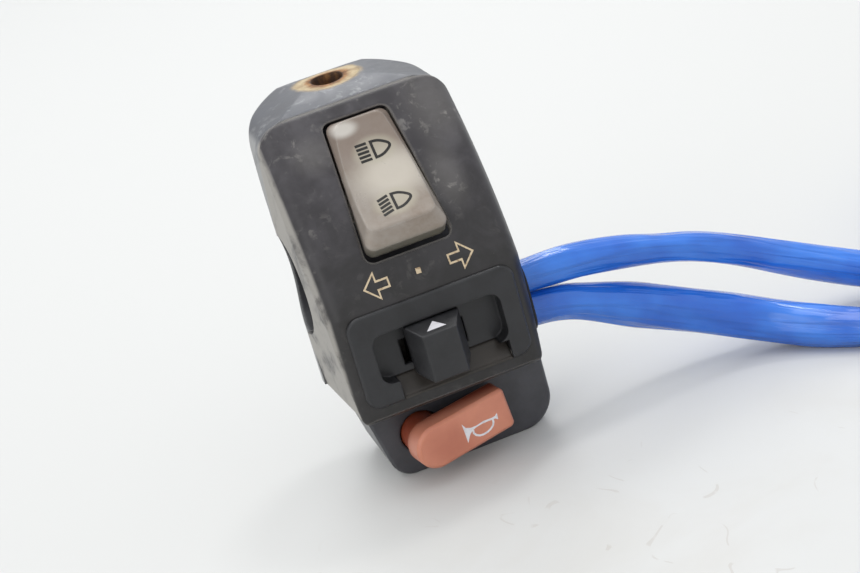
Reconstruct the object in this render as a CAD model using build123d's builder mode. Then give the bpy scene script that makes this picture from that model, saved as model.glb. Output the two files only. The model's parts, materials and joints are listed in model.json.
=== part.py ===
from build123d import *
from math import atan2, cos, degrees, hypot, pi, radians, sin, sqrt, tan
import os

# Handlebar switch cluster for the left end of a motorcycle bar, in millimetres.
# Origin on the bar's axis at the middle of the case. +X runs along the bar towards the cable end,
# +Y points away from the rider, +Z is up. The part stands on the underside of the horn carrier.

# Clearances shared by all pieces
overrun = 1.0
seat_gap = 0.05
fit_gap = 0.1
running_gap = 0.04
easy_gap = 0.3

# Bar and case
bar_r = 11.1
case_half_mid = 22.0
case_half_top = 20.2
case_half_low = 20.9
case_draft = 1.4
crown_z = 33.5
crown_side_z = 32.2
crown_corner = 5.5
lip_corner = 2.4
face_depth = 23.6
facet_top_z = -2.2
face_turn = 22
under_z = -23.6
lip_drop = 2.0
lip_thick = 3.0
lip_bevel = 0.8
flat_half = 17.4
edge_r = 3.2
edge_roll = 68
face_sweep = 60
wall = 2.4
end_wall = 4.4
cavity_inset = 3.4

# Rear half
rear_half = 21.5
rear_depth = 25.6
rear_crown_z = 35.6
rear_side_z = 31.4
rear_heel_y = 7.0
rear_back_r = 16.2
rear_shoulder_z = 22.0
rear_shoulder_y = 24.6
rear_brow_z = 34.4
rear_brow_depth = 22.8
rear_edge = 1.2

# Mirror socket
mirror_y = 13.9
mirror_tilt = 5
mirror_hole_r = 3.4
mirror_depth = 16.0
mirror_face_r = 7.1
mirror_sink = 0.3
mirror_top_z = 35.0

# Screws that close the case
case_screw_r = 2.0
case_head_r = 3.7
case_head_high = 2.6
case_screw_long = 18.0
case_boss_r = 4.0
upper_screw_x = 13.5
upper_screw_z = 23.5
upper_seat_y = 12.0
lower_screw_z = -17.8
lower_seat_y = 8.6

# Rocker
rocker_along = 23.95
rocker_long = 28.6
rocker_top_half = 6.5
rocker_low_half = 8.8
rocker_rise = 2.8
rocker_shoulder = 0.5
rocker_skirt = 3.0
rocker_wall = 1.4
rocker_side_bevel = 1.6
rocker_low_bevel = 2.8
rocker_top_bevel = 1.2
rocker_corner = 1.9
saddle_sink = 1.2
saddle_r = 62.0
rocker_gap = 0.55
rocker_end_gap = 0.95
rocker_rest = 6
rocker_swing = 14.5
pivot_depth = 3.6
pivot_r = 1.1
ear_half = 2.6
ear_drop = 5.6
sleeve_r = 2.2
sleeve_drop = 6.4
plunger_r = 1.25
plunger_tip = 7.3
plunger_long = 3.2

# Dimmer switch under the rocker
plate_top_depth = 9.0
plate_thick = 1.4
plate_half = 9.0
plate_low = 3.5
plate_high = 5.0
base_ear_in = 3.9
base_ear_out = 5.7
base_ear_r = 2.2
ridge_depth = 8.3
ridge_r = 0.35
wing_out = 13.2
wing_low = 0.2
wing_high = 4.2
dimmer_screw_x = 11.0
dimmer_boss_r = 2.2
dimmer_screw_r = 0.9
dimmer_head_r = 1.8
dimmer_head_high = 1.1
dimmer_screw_long = 5.0
blade_half = 3.2
blade_reach = 3.3
blade_thick = 0.5
blade_rest = 6
contact_head_r = 0.8
contact_head_high = 0.25
contact_shank_r = 0.45
contact_tail_high = 0.5

# Turn switch: raised frame, pocket and box
bezel_inset = 4.1
bezel_half = case_half_mid - bezel_inset
bezel_top_z = -2.5
bezel_low_z = -22.5
bezel_proud = 0.8
bezel_corner = 3.0
bezel_edge = 0.4
box_inset = 2.7
box_half = bezel_half - box_inset
box_top_z = -4.4
box_low_z = -20.9
box_rear_y = -14.6
box_side = 2.9
box_wall = 1.6
pocket_rim_left = 1.5
pocket_rim_right = 1.4
pocket_left = pocket_rim_left - box_half
pocket_right = box_half - pocket_rim_right
pocket_top_z = -7.4
pocket_low_z = -18.2
pocket_corner = 2.5
pocket_depth = 3.8
floor_thick = 1.2
ramp_rim_left = 3.4
ramp_rim_right = 0.5
ramp_left = pocket_left + ramp_rim_left
ramp_right = pocket_right - ramp_rim_right
ramp_top_back = 0.2
ramp_sink = 1.1
hook_x = 9.0
hook_wide = 4.0
hook_rise = 0.6
hook_long = 1.0

# Turn switch: knob and what it carries
knob_x = -0.8
knob_travel = 4.5
knob_press = 1.5
knob_half = 5.75
knob_top_z = -7.8
knob_low_z = -17.9
knob_back = 2.0
knob_waist = 2.0
knob_reach = 6.5
knob_face_half = 3.55
knob_face_top_z = -9.2
knob_face_low_z = -19.4
knob_edge = 0.35
neck_half = 2.1
neck_top_z = -11.6
neck_low_z = -16.6
neck_end_y = -17.9
neck_bore_r = 1.5
neck_bore_deep = 3.1
carriage_half = 5.0
carriage_top_z = -7.0
carriage_low_z = -18.9
carriage_rear_y = -15.6
hole_bottom_y = -16.1
ball_r = 1.2
ball_y = -17.4
ball_z = -7.5
ball_bore_r = 1.3
ball_bore_deep = 4.0
notch_r = 1.7
bridge_half = 3.6
bridge_top_z = -8.4
bridge_low_z = -14.0
bridge_thick = 0.4
turn_plate_thick = 1.5
pad_pitch_z = 1.8
pad_mid_z = -11.2
pad_head_r = 1.1
pad_head_high = 0.3
pad_shank_r = 0.6
pad_tail_high = 0.6
plate_screw_z = -18.9
plate_screw_r = 0.8
plate_head_r = 1.5
plate_head_high = 1.0
plate_screw_long = 4.5

# Horn switch
carrier_front_y = -14.6
carrier_rear_y = 5.5
carrier_low_z = -43.5
carrier_left_top = -18.8
carrier_left_low = -14.4
carrier_right = 21.4
carrier_left_corner = 5.0
carrier_right_corner = 7.0
carrier_wall = 2.4
carrier_edge = 0.5
stem_x = -7.4
stem_z = -34.8
stem_r = 4.3
chamber_r = 6.0
horn_plate_y = -1.0
horn_plate_thick = 1.6
recess_left = -13.0
recess_right = 18.4
recess_top_z = -27.4
recess_low_z = -40.6
side_pocket_left = 3.2
side_pocket_front_y = -11.0
flange_r = 5.5
flange_thick = 1.15
tail_r = 1.8
disc_r = 3.2
disc_thick = 0.6
disc_y = -4.0
horn_travel = 1.8
horn_contact_x = 1.9
horn_head_r = 1.0
horn_head_high = 0.4
horn_shank_r = 0.6
horn_tail_high = 0.6
cap_front = 10.0
cap_thick = 5.0
cap_long = 17.2
cap_end_r = 4.7
cap_half = 4.55
cap_corner = 1.0
cap_edge = 0.6
cap_yaw = 9
cap_roll = 5
horn_screw_x = 0.6
horn_screw_z = 4.2
horn_screw_r = 0.8
horn_screw_head_r = 1.4
horn_screw_head_high = 0.9
horn_screw_long = 4.5
cover_thick = 1.4
cover_post_r = 2.2
cover_post_inset = 2.2
cover_screw_long = 5.0
carrier_screw_left = -11.0
carrier_screw_right = 14.6
carrier_screw_y = -5.0
carrier_screw_r = 1.4
carrier_head_r = 2.5
carrier_head_high = 1.6
carrier_screw_long = 5.4
lead_hole_x = 9.0
lead_hole_y = -5.5
lead_hole_r = 1.3

# Cables
sleeve_y = -13.0
small_r = 3.5
large_r = 3.7
small_z = -11.0
large_z = -18.3
sleeve_inner_x = 17.0
grommet_wall = 0.7
turn_lead_r = 0.55
lead_r = 0.5
run_in = 11.5
coil_pitch_gap = 0.6
coil_stack_gap = 0.1
ring_r = 42.5
ring_x = 160.0
ring_y = -7.5
ring_start = -90
tail_bend_share = 3.1
tail_turn = 135
wire_r = 0.8
wire_ring_r = 1.9
wire_long = 13.0
wire_count = 4
connector_long = 17.0
connector_wide = 13.6
connector_edge = 0.5
connector_cell = 3.9
connector_hole_r = 1.2
connector_hole_deep = 8.0
latch_long = 10.0
latch_wide = 3.6
latch_sink = 0.8

# Springs: wire radius, coil radius and turns
dimmer_spring_wire = 0.14
dimmer_spring_coil = 0.9
detent_spring_wire = 0.13
detent_spring_coil = 0.85
return_spring_wire = 0.15
return_spring_coil = 1.1
horn_spring_wire = 0.3
horn_spring_coil = 4.5
spring_turns = 5

# The face leans back in one long arc from the top of the upright facet to the crown
case_rise = crown_z - facet_top_z
face_chord = hypot(face_depth, case_rise)
face_low_tilt = degrees(atan2(face_depth, case_rise)) - face_turn / 2
face_r = face_chord / (2 * sin(radians(face_turn / 2)))
face_mid_y = face_r * cos(radians(face_low_tilt)) - face_depth
face_mid_z = facet_top_z - face_r * sin(radians(face_low_tilt))

lip_z = under_z - lip_drop
cavity_floor_z = under_z + wall
cavity_half = case_half_mid - end_wall
bezel_front_y = -face_depth - bezel_proud
pocket_floor_y = bezel_front_y + pocket_depth
box_floor_y = pocket_floor_y + floor_thick


def face_tilt(along):
    """lean of the face, in degrees from upright, at a distance along it from the facet"""
    return face_low_tilt + degrees(along / face_r)


def face_point(along, depth=0):
    """y and z of a point at a depth under the leaning face"""
    tilt = radians(face_tilt(along))
    reach = face_r - depth
    return face_mid_y - reach * cos(tilt), face_mid_z + reach * sin(tilt)


def facing(y):
    """upright plane at y that faces the rider: local x along the bar, local y up"""
    return Plane(origin=(0, y, 0), x_dir=(1, 0, 0), z_dir=(0, -1, 0))


def leaning(tilt, y, z):
    """plane through y, z that faces the rider and leans back by tilt"""
    lean = radians(tilt)
    return Plane(origin=(0, y, z), x_dir=(1, 0, 0), z_dir=(0, -cos(lean), sin(lean)))


def across(x, y, z):
    """plane at x with its normal along +X: local x along +Y, local y up"""
    return Plane(origin=(x, y, z), x_dir=(0, 1, 0), z_dir=(1, 0, 0))


rocker_tilt = face_tilt(rocker_along)
pivot_y, pivot_z = face_point(rocker_along, pivot_depth)
ridge_y, ridge_z = face_point(rocker_along, ridge_depth)
dimmer_plane = leaning(rocker_tilt, *face_point(rocker_along))
rest_tilt = rocker_tilt + rocker_rest
rocker_plane = leaning(
    rest_tilt,
    pivot_y - pivot_depth * cos(radians(rest_tilt)),
    pivot_z + pivot_depth * sin(radians(rest_tilt)),
)
blade_plane = leaning(rocker_tilt - blade_rest, ridge_y, ridge_z)


def slab(plane, left, right, low, high, start, end, mode=Mode.ADD):
    """block over a rectangle of a plane, between two heights above that plane"""
    with BuildSketch(plane.offset(start)) as outline:
        with Locations(((left + right) / 2, (low + high) / 2)):
            Rectangle(right - left, high - low)
    extrude(outline.sketch, amount=end - start, mode=mode)


def posts(plane, radius, centres, start, end, mode=Mode.ADD):
    """round posts at places on a plane, between two heights above that plane"""
    with BuildSketch(plane.offset(start)) as outline:
        with Locations(*centres):
            Circle(radius)
    extrude(outline.sketch, amount=end - start, mode=mode)


def screw_solid(plane, radius, head_r, head_high, length, centres):
    """pan-head screws: the shank runs down from the plane and the head stands on it"""
    with BuildPart() as screws:
        posts(plane, radius, centres, -length, 0)
        posts(plane, head_r, centres, 0, head_high)
        fillet(screws.faces().sort_by(Axis(plane.origin, plane.z_dir))[-len(centres):].edges(), head_high / 3)
        with BuildSketch(plane.offset(head_high / 2)):
            with Locations(*centres):
                Rectangle(head_r, head_r / 4)
                Rectangle(head_r / 4, head_r)
        extrude(amount=head_high, mode=Mode.SUBTRACT)
    return screws.part


def biarc(start, start_dir, end, end_dir):
    """two tangent arcs from start to end that leave and arrive along the given directions"""
    gap = end - start
    both = start_dir + end_dir
    spread = 2 * (1 - start_dir.dot(end_dir))
    along = gap.dot(both)
    reach = (sqrt(along * along + spread * gap.dot(gap)) - along) / spread
    first = start + start_dir * reach
    second = end - end_dir * reach
    middle = (first + second) * 0.5
    TangentArc(start, middle, tangent=start_dir)
    TangentArc(middle, end, tangent=second - first)


def spring_solid(plane, coil, wire, turns, length):
    """open compression spring that stands on a plane, one unbroken wire wound in half turns"""
    rise = (length - 2 * wire) / turns
    slope = rise / (2 * pi * coil)
    steps = 2 * turns

    def at(step):
        angle = pi * step
        return plane.from_local_coords(Vector(coil * cos(angle), coil * sin(angle), wire + rise * step / 2))

    def heading(step):
        angle = pi * step
        there = plane.from_local_coords(Vector(-sin(angle), cos(angle), slope))
        return (there - plane.origin).normalized()

    with BuildPart() as spring:
        with BuildLine() as path:
            for step in range(steps):
                biarc(at(step), heading(step), at(step + 1), heading(step + 1))
        with BuildSketch(Plane(origin=at(0), z_dir=heading(0))):
            Circle(wire)
        sweep(path=path.wires()[0])
    return spring.part


def route_radii(points):
    """largest tangent arc that each corner of a route has room for"""
    radii = []
    for before, corner, after in zip(points, points[1:], points[2:]):
        run_in = Vector(corner) - Vector(before)
        run_out = Vector(after) - Vector(corner)
        turn = radians(run_in.get_angle(run_out))
        radii.append(0.45 * min(run_in.length, run_out.length) / tan(turn / 2))
    return radii


def tube_solid(points, radius, name):
    """round tube along straight runs joined by tangent arcs"""
    radii = route_radii(points)
    with BuildPart() as tube:
        with BuildLine() as path:
            FilletPolyline(*points, radius=radii)
        with BuildSketch(Plane(origin=points[0], z_dir=Vector(points[1]) - Vector(points[0]))):
            Circle(radius)
        sweep(path=path.wires()[0])
    length = path.wires()[0].length
    print(name, "radii", [round(r, 1) for r in radii], "length", round(length, 1))
    print(name, "volume against section times length", round(tube.part.volume / (pi * radius**2 * length), 4))
    return tube.part


def case_outline(narrower):
    """front view of the case: barrel sides under a rounded crown"""
    low = (case_half_low - narrower, lip_z)
    mid = (case_half_mid - narrower, 0)
    top = (case_half_top - narrower, crown_side_z)
    with BuildLine() as line:
        ThreePointArc(low, mid, top)
        ThreePointArc(top, (0, crown_z + overrun), (-top[0], top[1]))
        ThreePointArc((-top[0], top[1]), (-mid[0], mid[1]), (-low[0], low[1]))
        Line((-low[0], low[1]), low)
    outline = make_face(line.edges())
    crowned = fillet(outline.vertices().group_by(Axis.Y)[-1], crown_corner - narrower)
    fillet(crowned.vertices().group_by(Axis.Y)[0], lip_corner - narrower / 2)


def case_profile():
    """side view of the front half: underside, lip and parting plane, open to the front"""
    ahead = -face_depth - overrun
    with BuildLine() as line:
        Polyline(
            (0, under_z),
            (lip_thick - face_depth, under_z),
            (lip_thick - face_depth, lip_z),
            (lip_bevel - face_depth, lip_z),
            (ahead, lip_z + lip_bevel + overrun),
            (ahead, crown_z),
            (0, crown_z),
            close=True,
        )
    make_face(line.edges())


def front_section(start_y):
    """section across a front surface: flat in the middle, both side edges rolled back"""
    roll = radians(edge_roll)
    end_x = flat_half + edge_r * sin(roll)
    end_y = start_y + edge_r * (1 - cos(roll))
    middle = (flat_half + edge_r * sin(roll / 2), start_y + edge_r * (1 - cos(roll / 2)))
    reach = 2 * face_depth
    far = (end_x + reach * cos(roll), end_y + reach * sin(roll))
    with BuildLine() as line:
        Line((-flat_half, start_y), (flat_half, start_y))
        ThreePointArc((flat_half, start_y), middle, (end_x, end_y))
        Polyline((end_x, end_y), far, (-far[0], far[1]), (-end_x, end_y))
        ThreePointArc((-end_x, end_y), (-middle[0], middle[1]), (-flat_half, start_y))
    make_face(line.edges())


def cavity_profile():
    """side view of the hollow of the front half"""
    front = wall - face_depth
    inner_r = face_r - wall
    top_z = face_mid_z + sqrt(inner_r**2 - face_mid_y**2)
    start = face_point(0, wall)
    with BuildLine() as line:
        Polyline((0, cavity_floor_z), (front, cavity_floor_z), (front, start[1]), start)
        ThreePointArc(start, face_point(face_r * radians(face_turn / 2), wall), (0, top_z))
        Line((0, top_z), (0, cavity_floor_z))
    make_face(line.edges())


upper_screws = ((upper_screw_x, upper_screw_z), (-upper_screw_x, upper_screw_z))
lower_screws = ((0, lower_screw_z),)
dimmer_screws = ((dimmer_screw_x, (wing_low + wing_high) / 2), (-dimmer_screw_x, (wing_low + wing_high) / 2))
carrier_screws = ((carrier_screw_left, carrier_screw_y), (carrier_screw_right, carrier_screw_y))


def case_cavity():
    """hollow of the front half, with the bosses left standing in it"""
    with BuildPart() as cavity:
        with BuildSketch(Plane.YZ):
            cavity_profile()
        extrude(amount=cavity_half, both=True)
        with BuildSketch(facing(overrun)):
            case_outline(cavity_inset)
        extrude(amount=face_depth + overrun, mode=Mode.INTERSECT)
        posts(facing(0), case_boss_r, upper_screws, -overrun, face_depth, Mode.SUBTRACT)
        lower_boss_deep = case_screw_long - lower_seat_y + overrun
        posts(facing(0), case_boss_r, lower_screws, -overrun, lower_boss_deep, Mode.SUBTRACT)
        posts(dimmer_plane, dimmer_boss_r, dimmer_screws, -plate_top_depth, overrun, Mode.SUBTRACT)
    return cavity.part


def rocker_shape(grow, end_grow, bevels=0):
    """rocker outline, wider at its lower end; bevels draws it in unevenly at its four sides"""
    top = rocker_long / 2 + end_grow - bevels * rocker_top_bevel
    low = -rocker_long / 2 - end_grow + bevels * rocker_low_bevel
    top_half = rocker_top_half + grow - bevels * rocker_side_bevel
    low_half = rocker_low_half + grow - bevels * rocker_side_bevel
    with BuildLine() as line:
        Polyline((-low_half, low), (low_half, low), (top_half, top), (-top_half, top), close=True)
    outline = make_face(line.edges())
    fillet(outline.vertices(), rocker_corner)


def cable_outline(grow):
    """upright slot round the two sleeves, one above the other"""
    with Locations((sleeve_y, (small_z + large_z) / 2)):
        SlotCenterToCenter(small_z - large_z, 2 * (max(small_r, large_r) + grow), rotation=90)


def front_case():
    with BuildPart() as case:
        with BuildSketch(facing(0)):
            case_outline(0)
        with BuildSketch(facing(-face_depth - overrun)):
            case_outline(case_draft)
        loft()
        with BuildSketch(Plane.YZ):
            case_profile()
        extrude(amount=case_half_mid + overrun, both=True, mode=Mode.INTERSECT)
        with BuildSketch(Plane.XY.offset(lip_z - overrun)):
            front_section(-face_depth)
        extrude(amount=crown_z - lip_z + 2 * overrun, mode=Mode.INTERSECT)
        with BuildSketch(Plane.XY.offset(face_mid_z)):
            front_section(face_mid_y - face_r)
        revolve(
            axis=Axis((0, face_mid_y, face_mid_z), (-1, 0, 0)),
            revolution_arc=face_sweep,
            mode=Mode.INTERSECT,
        )
        add(case_cavity(), mode=Mode.SUBTRACT)
        with BuildSketch(Plane.YZ):
            Circle(bar_r)
        extrude(amount=case_half_mid + overrun, both=True, mode=Mode.SUBTRACT)
        with BuildSketch(dimmer_plane.offset(-wall * 2)):
            rocker_shape(rocker_gap, rocker_end_gap)
        extrude(amount=wall * 4, mode=Mode.SUBTRACT)
        slab(
            facing(-face_depth),
            -box_half - fit_gap,
            box_half + fit_gap,
            box_low_z - fit_gap,
            box_top_z + fit_gap,
            -wall - overrun,
            overrun,
            Mode.SUBTRACT,
        )
        slab(
            facing(-face_depth),
            ramp_left - fit_gap,
            ramp_right + fit_gap,
            box_low_z - ramp_sink,
            box_low_z,
            -face_depth - pocket_floor_y - fit_gap,
            overrun / 2,
            Mode.SUBTRACT,
        )
        upper_hole = case_screw_long - upper_seat_y + overrun / 2
        lower_hole = case_screw_long - lower_seat_y + overrun / 2
        posts(facing(0), case_screw_r + seat_gap, upper_screws, -overrun, upper_hole, Mode.SUBTRACT)
        posts(facing(0), case_screw_r + seat_gap, lower_screws, -overrun, lower_hole, Mode.SUBTRACT)
        hole_top = dimmer_screw_long - plate_thick - plate_top_depth + overrun / 2
        posts(
            dimmer_plane,
            dimmer_screw_r + seat_gap,
            dimmer_screws,
            -plate_top_depth - overrun,
            hole_top,
            Mode.SUBTRACT,
        )
        floor = Plane.XY.offset(under_z)
        posts(floor, carrier_screw_r + fit_gap, carrier_screws, -overrun, wall + overrun, Mode.SUBTRACT)
        posts(floor, lead_hole_r, ((lead_hole_x, lead_hole_y),), -overrun, wall + overrun, Mode.SUBTRACT)
        with BuildSketch(across(cavity_half - overrun, 0, 0)):
            cable_outline(grommet_wall + seat_gap)
        extrude(amount=end_wall + 2 * overrun, mode=Mode.SUBTRACT)
    return case.part


def rear_profile():
    """side view of the rear half, from the parting plane round the bar and up to the mirror boss"""
    with BuildLine() as line:
        Line((0, under_z), (rear_heel_y, under_z))
        ThreePointArc(
            (rear_heel_y, under_z),
            (rear_back_r - rear_edge, (under_z - bar_r) / 2 + lip_drop),
            (rear_back_r, -bar_r / 2),
        )
        ThreePointArc(
            (rear_back_r, -bar_r / 2),
            ((rear_back_r + rear_shoulder_y) / 2 - rear_edge, rear_shoulder_z / 2 - rear_edge),
            (rear_shoulder_y, rear_shoulder_z),
        )
        ThreePointArc(
            (rear_shoulder_y, rear_shoulder_z),
            (rear_depth - rear_edge / 4, (rear_shoulder_z + rear_brow_z) / 2 + rear_edge),
            (rear_shoulder_y - 2 * rear_edge, rear_brow_z),
        )
        ThreePointArc(
            (rear_shoulder_y - 2 * rear_edge, rear_brow_z),
            (mirror_y, mirror_top_z + mirror_sink),
            (0, crown_z),
        )
        Line((0, crown_z), (0, under_z))
    make_face(line.edges())


def mirror_plane():
    return Plane(
        origin=(0, mirror_y, mirror_top_z),
        x_dir=(1, 0, 0),
        z_dir=(0, -sin(radians(mirror_tilt)), cos(radians(mirror_tilt))),
    )


def rear_plan():
    """upright oval of the rear half, drawn in above its shoulder"""
    with BuildPart() as plan:
        with BuildSketch(Plane.XY.offset(under_z - overrun)):
            Ellipse(rear_half, rear_depth)
        extrude(amount=rear_shoulder_z - under_z + overrun)
        with BuildSketch(Plane.XY.offset(rear_shoulder_z)):
            Ellipse(rear_half, rear_depth)
        with BuildSketch(Plane.XY.offset(rear_crown_z + overrun)):
            Ellipse(rear_half, rear_brow_depth)
        loft()
    return plan.part


def rear_case():
    with BuildPart() as case:
        with BuildSketch(Plane.YZ):
            rear_profile()
        extrude(amount=rear_half, both=True)
        add(rear_plan(), mode=Mode.INTERSECT)
        with BuildSketch(facing(rear_depth + overrun)):
            with BuildLine() as line:
                side = case_half_top
                Line((-case_half_mid, under_z), (case_half_mid, under_z))
                ThreePointArc(
                    (case_half_mid, under_z), (case_half_mid, 0), (side, rear_side_z)
                )
                ThreePointArc((side, rear_side_z), (0, rear_crown_z), (-side, rear_side_z))
                ThreePointArc(
                    (-side, rear_side_z), (-case_half_mid, 0), (-case_half_mid, under_z)
                )
            outline = make_face(line.edges())
            fillet(outline.vertices().group_by(Axis.Y)[-1], crown_corner)
        extrude(amount=rear_depth + 2 * overrun, mode=Mode.INTERSECT)
        with BuildSketch(Plane.YZ):
            Circle(bar_r)
        extrude(amount=case_half_mid + overrun, both=True, mode=Mode.SUBTRACT)
        posts(facing(0), case_screw_r + 2 * fit_gap, upper_screws, -rear_depth, overrun, Mode.SUBTRACT)
        posts(facing(0), case_screw_r + 2 * fit_gap, lower_screws, -rear_depth, overrun, Mode.SUBTRACT)
        head_hole_r = case_head_r + 2 * fit_gap
        posts(facing(0), head_hole_r, upper_screws, -rear_depth - overrun, -upper_seat_y, Mode.SUBTRACT)
        posts(facing(0), head_hole_r, lower_screws, -rear_depth - overrun, -lower_seat_y, Mode.SUBTRACT)
        socket = mirror_plane()
        posts(socket, mirror_face_r, ((0, 0),), 0, wall, Mode.SUBTRACT)
        posts(socket, mirror_hole_r, ((0, 0),), -mirror_depth, wall, Mode.SUBTRACT)
    return case.part


def rocker_button():
    inner_top = rocker_rise - saddle_sink - rocker_wall
    with BuildPart() as rocker:
        with BuildSketch(rocker_plane.offset(-rocker_skirt)):
            rocker_shape(0, 0)
        extrude(amount=rocker_skirt + rocker_shoulder)
        with BuildSketch(rocker_plane.offset(rocker_shoulder)):
            rocker_shape(0, 0)
        with BuildSketch(rocker_plane.offset(rocker_rise)):
            rocker_shape(0, 0, 1)
        loft()
        saddle_low = rocker_rise - saddle_sink
        axis = leaning(rest_tilt, rocker_plane.origin.Y, rocker_plane.origin.Z)
        across_rocker = Plane(
            origin=axis.from_local_coords(Vector(0, rocker_top_bevel, saddle_low + saddle_r)),
            x_dir=axis.y_dir,
            z_dir=axis.x_dir,
        )
        with BuildSketch(across_rocker):
            Circle(saddle_r)
        extrude(amount=rocker_low_half + overrun, both=True, mode=Mode.SUBTRACT)
        with BuildSketch(rocker_plane.offset(-rocker_skirt - overrun)):
            rocker_shape(-rocker_wall, -rocker_wall)
        extrude(amount=rocker_skirt + overrun + inner_top, mode=Mode.SUBTRACT)
        ear_in = (rocker_top_half + rocker_low_half) / 2 - rocker_wall
        ear_out = ear_in + rocker_wall - fit_gap
        slab(rocker_plane, ear_in, ear_out, -ear_half, ear_half, -ear_drop, inner_top)
        slab(rocker_plane, -ear_out, -ear_in, -ear_half, ear_half, -ear_drop, inner_top)
        posts(rocker_plane, sleeve_r, ((0, 0),), -sleeve_drop, inner_top + seat_gap)
        posts(rocker_plane, plunger_r + running_gap, ((0, 0),), -sleeve_drop - overrun, -overrun, Mode.SUBTRACT)
        with BuildSketch(across(0, pivot_y, pivot_z)):
            Circle(pivot_r + running_gap)
        with_ears = ear_out + overrun
        extrude(amount=with_ears, both=True, mode=Mode.SUBTRACT)
    return rocker.part


def rocker_pivot_pins():
    long = (rocker_top_half + rocker_low_half) / 2 - fit_gap - base_ear_in
    with BuildPart() as pins:
        for start in (base_ear_in, -base_ear_in - long):
            with BuildSketch(across(start, pivot_y, pivot_z)):
                Circle(pivot_r)
            extrude(amount=long)
    return pins.part


def dimmer_base():
    with BuildPart() as base:
        bottom = -plate_top_depth - plate_thick
        slab(dimmer_plane, -plate_half, plate_half, -plate_low, plate_high, bottom, -plate_top_depth)
        slab(dimmer_plane, -wing_out, wing_out, wing_low, wing_high, bottom, -plate_top_depth - seat_gap)
        for left, right in ((base_ear_in, base_ear_out), (-base_ear_out, -base_ear_in)):
            slab(dimmer_plane, left, right, -base_ear_r, base_ear_r, -plate_top_depth, -pivot_depth)
            with BuildSketch(across(left, pivot_y, pivot_z)):
                Circle(base_ear_r)
            extrude(amount=right - left)
        with BuildSketch(across(0, ridge_y, ridge_z)):
            Circle(ridge_r)
        extrude(amount=blade_half, both=True)
        ridge_foot = -ridge_depth - ridge_r / 2
        slab(dimmer_plane, -blade_half, blade_half, -ridge_r / 2, ridge_r / 2, -plate_top_depth, ridge_foot)
        with BuildSketch(across(0, pivot_y, pivot_z)):
            Circle(pivot_r + seat_gap)
        extrude(amount=base_ear_out + overrun, both=True, mode=Mode.SUBTRACT)
        posts(dimmer_plane, dimmer_screw_r + fit_gap, dimmer_screws, bottom - overrun, 0, Mode.SUBTRACT)
        shanks = contact_places()
        posts(dimmer_plane, contact_shank_r + seat_gap, shanks, bottom - overrun, -ridge_depth, Mode.SUBTRACT)
    return base.part


def contact_places():
    """the two pairs of fixed contacts, under the ends of the see-saw blade"""
    reach = blade_reach - contact_head_r
    side = blade_half - contact_head_r
    return ((side, reach), (-side, reach), (side, -reach), (-side, -reach))


def dimmer_contacts():
    places = contact_places()
    bottom = -plate_top_depth - plate_thick
    with BuildPart() as contacts:
        head = -plate_top_depth + contact_head_high
        posts(dimmer_plane, contact_head_r, places, -plate_top_depth, head)
        posts(dimmer_plane, contact_shank_r, places, bottom, -plate_top_depth)
        posts(dimmer_plane, contact_head_r, places, bottom - contact_tail_high, bottom)
    return contacts.part


def dimmer_contact_blade():
    with BuildPart() as blade:
        start = ridge_r + seat_gap
        slab(blade_plane, -blade_half, blade_half, -blade_reach, blade_reach, start, start + blade_thick)
        for end in (-blade_reach + contact_head_r, blade_reach - contact_head_r):
            slab(
                blade_plane,
                -blade_half / 3,
                blade_half / 3,
                end - contact_shank_r,
                end + contact_shank_r,
                start,
                start + blade_thick,
                Mode.SUBTRACT,
            )
    return blade.part


def dimmer_plunger():
    with BuildPart() as plunger:
        start = -plunger_tip + plunger_r
        posts(rocker_plane, plunger_r, ((0, 0),), start, start + plunger_long - plunger_r)
        with Locations(rocker_plane.from_local_coords(Vector(0, 0, start))):
            Sphere(plunger_r)
    return plunger.part


def dimmer_spring():
    start = -plunger_tip + plunger_long + seat_gap
    length = -start - overrun - seat_gap
    return spring_solid(rocker_plane.offset(start), dimmer_spring_coil, dimmer_spring_wire, spring_turns, length)


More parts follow.
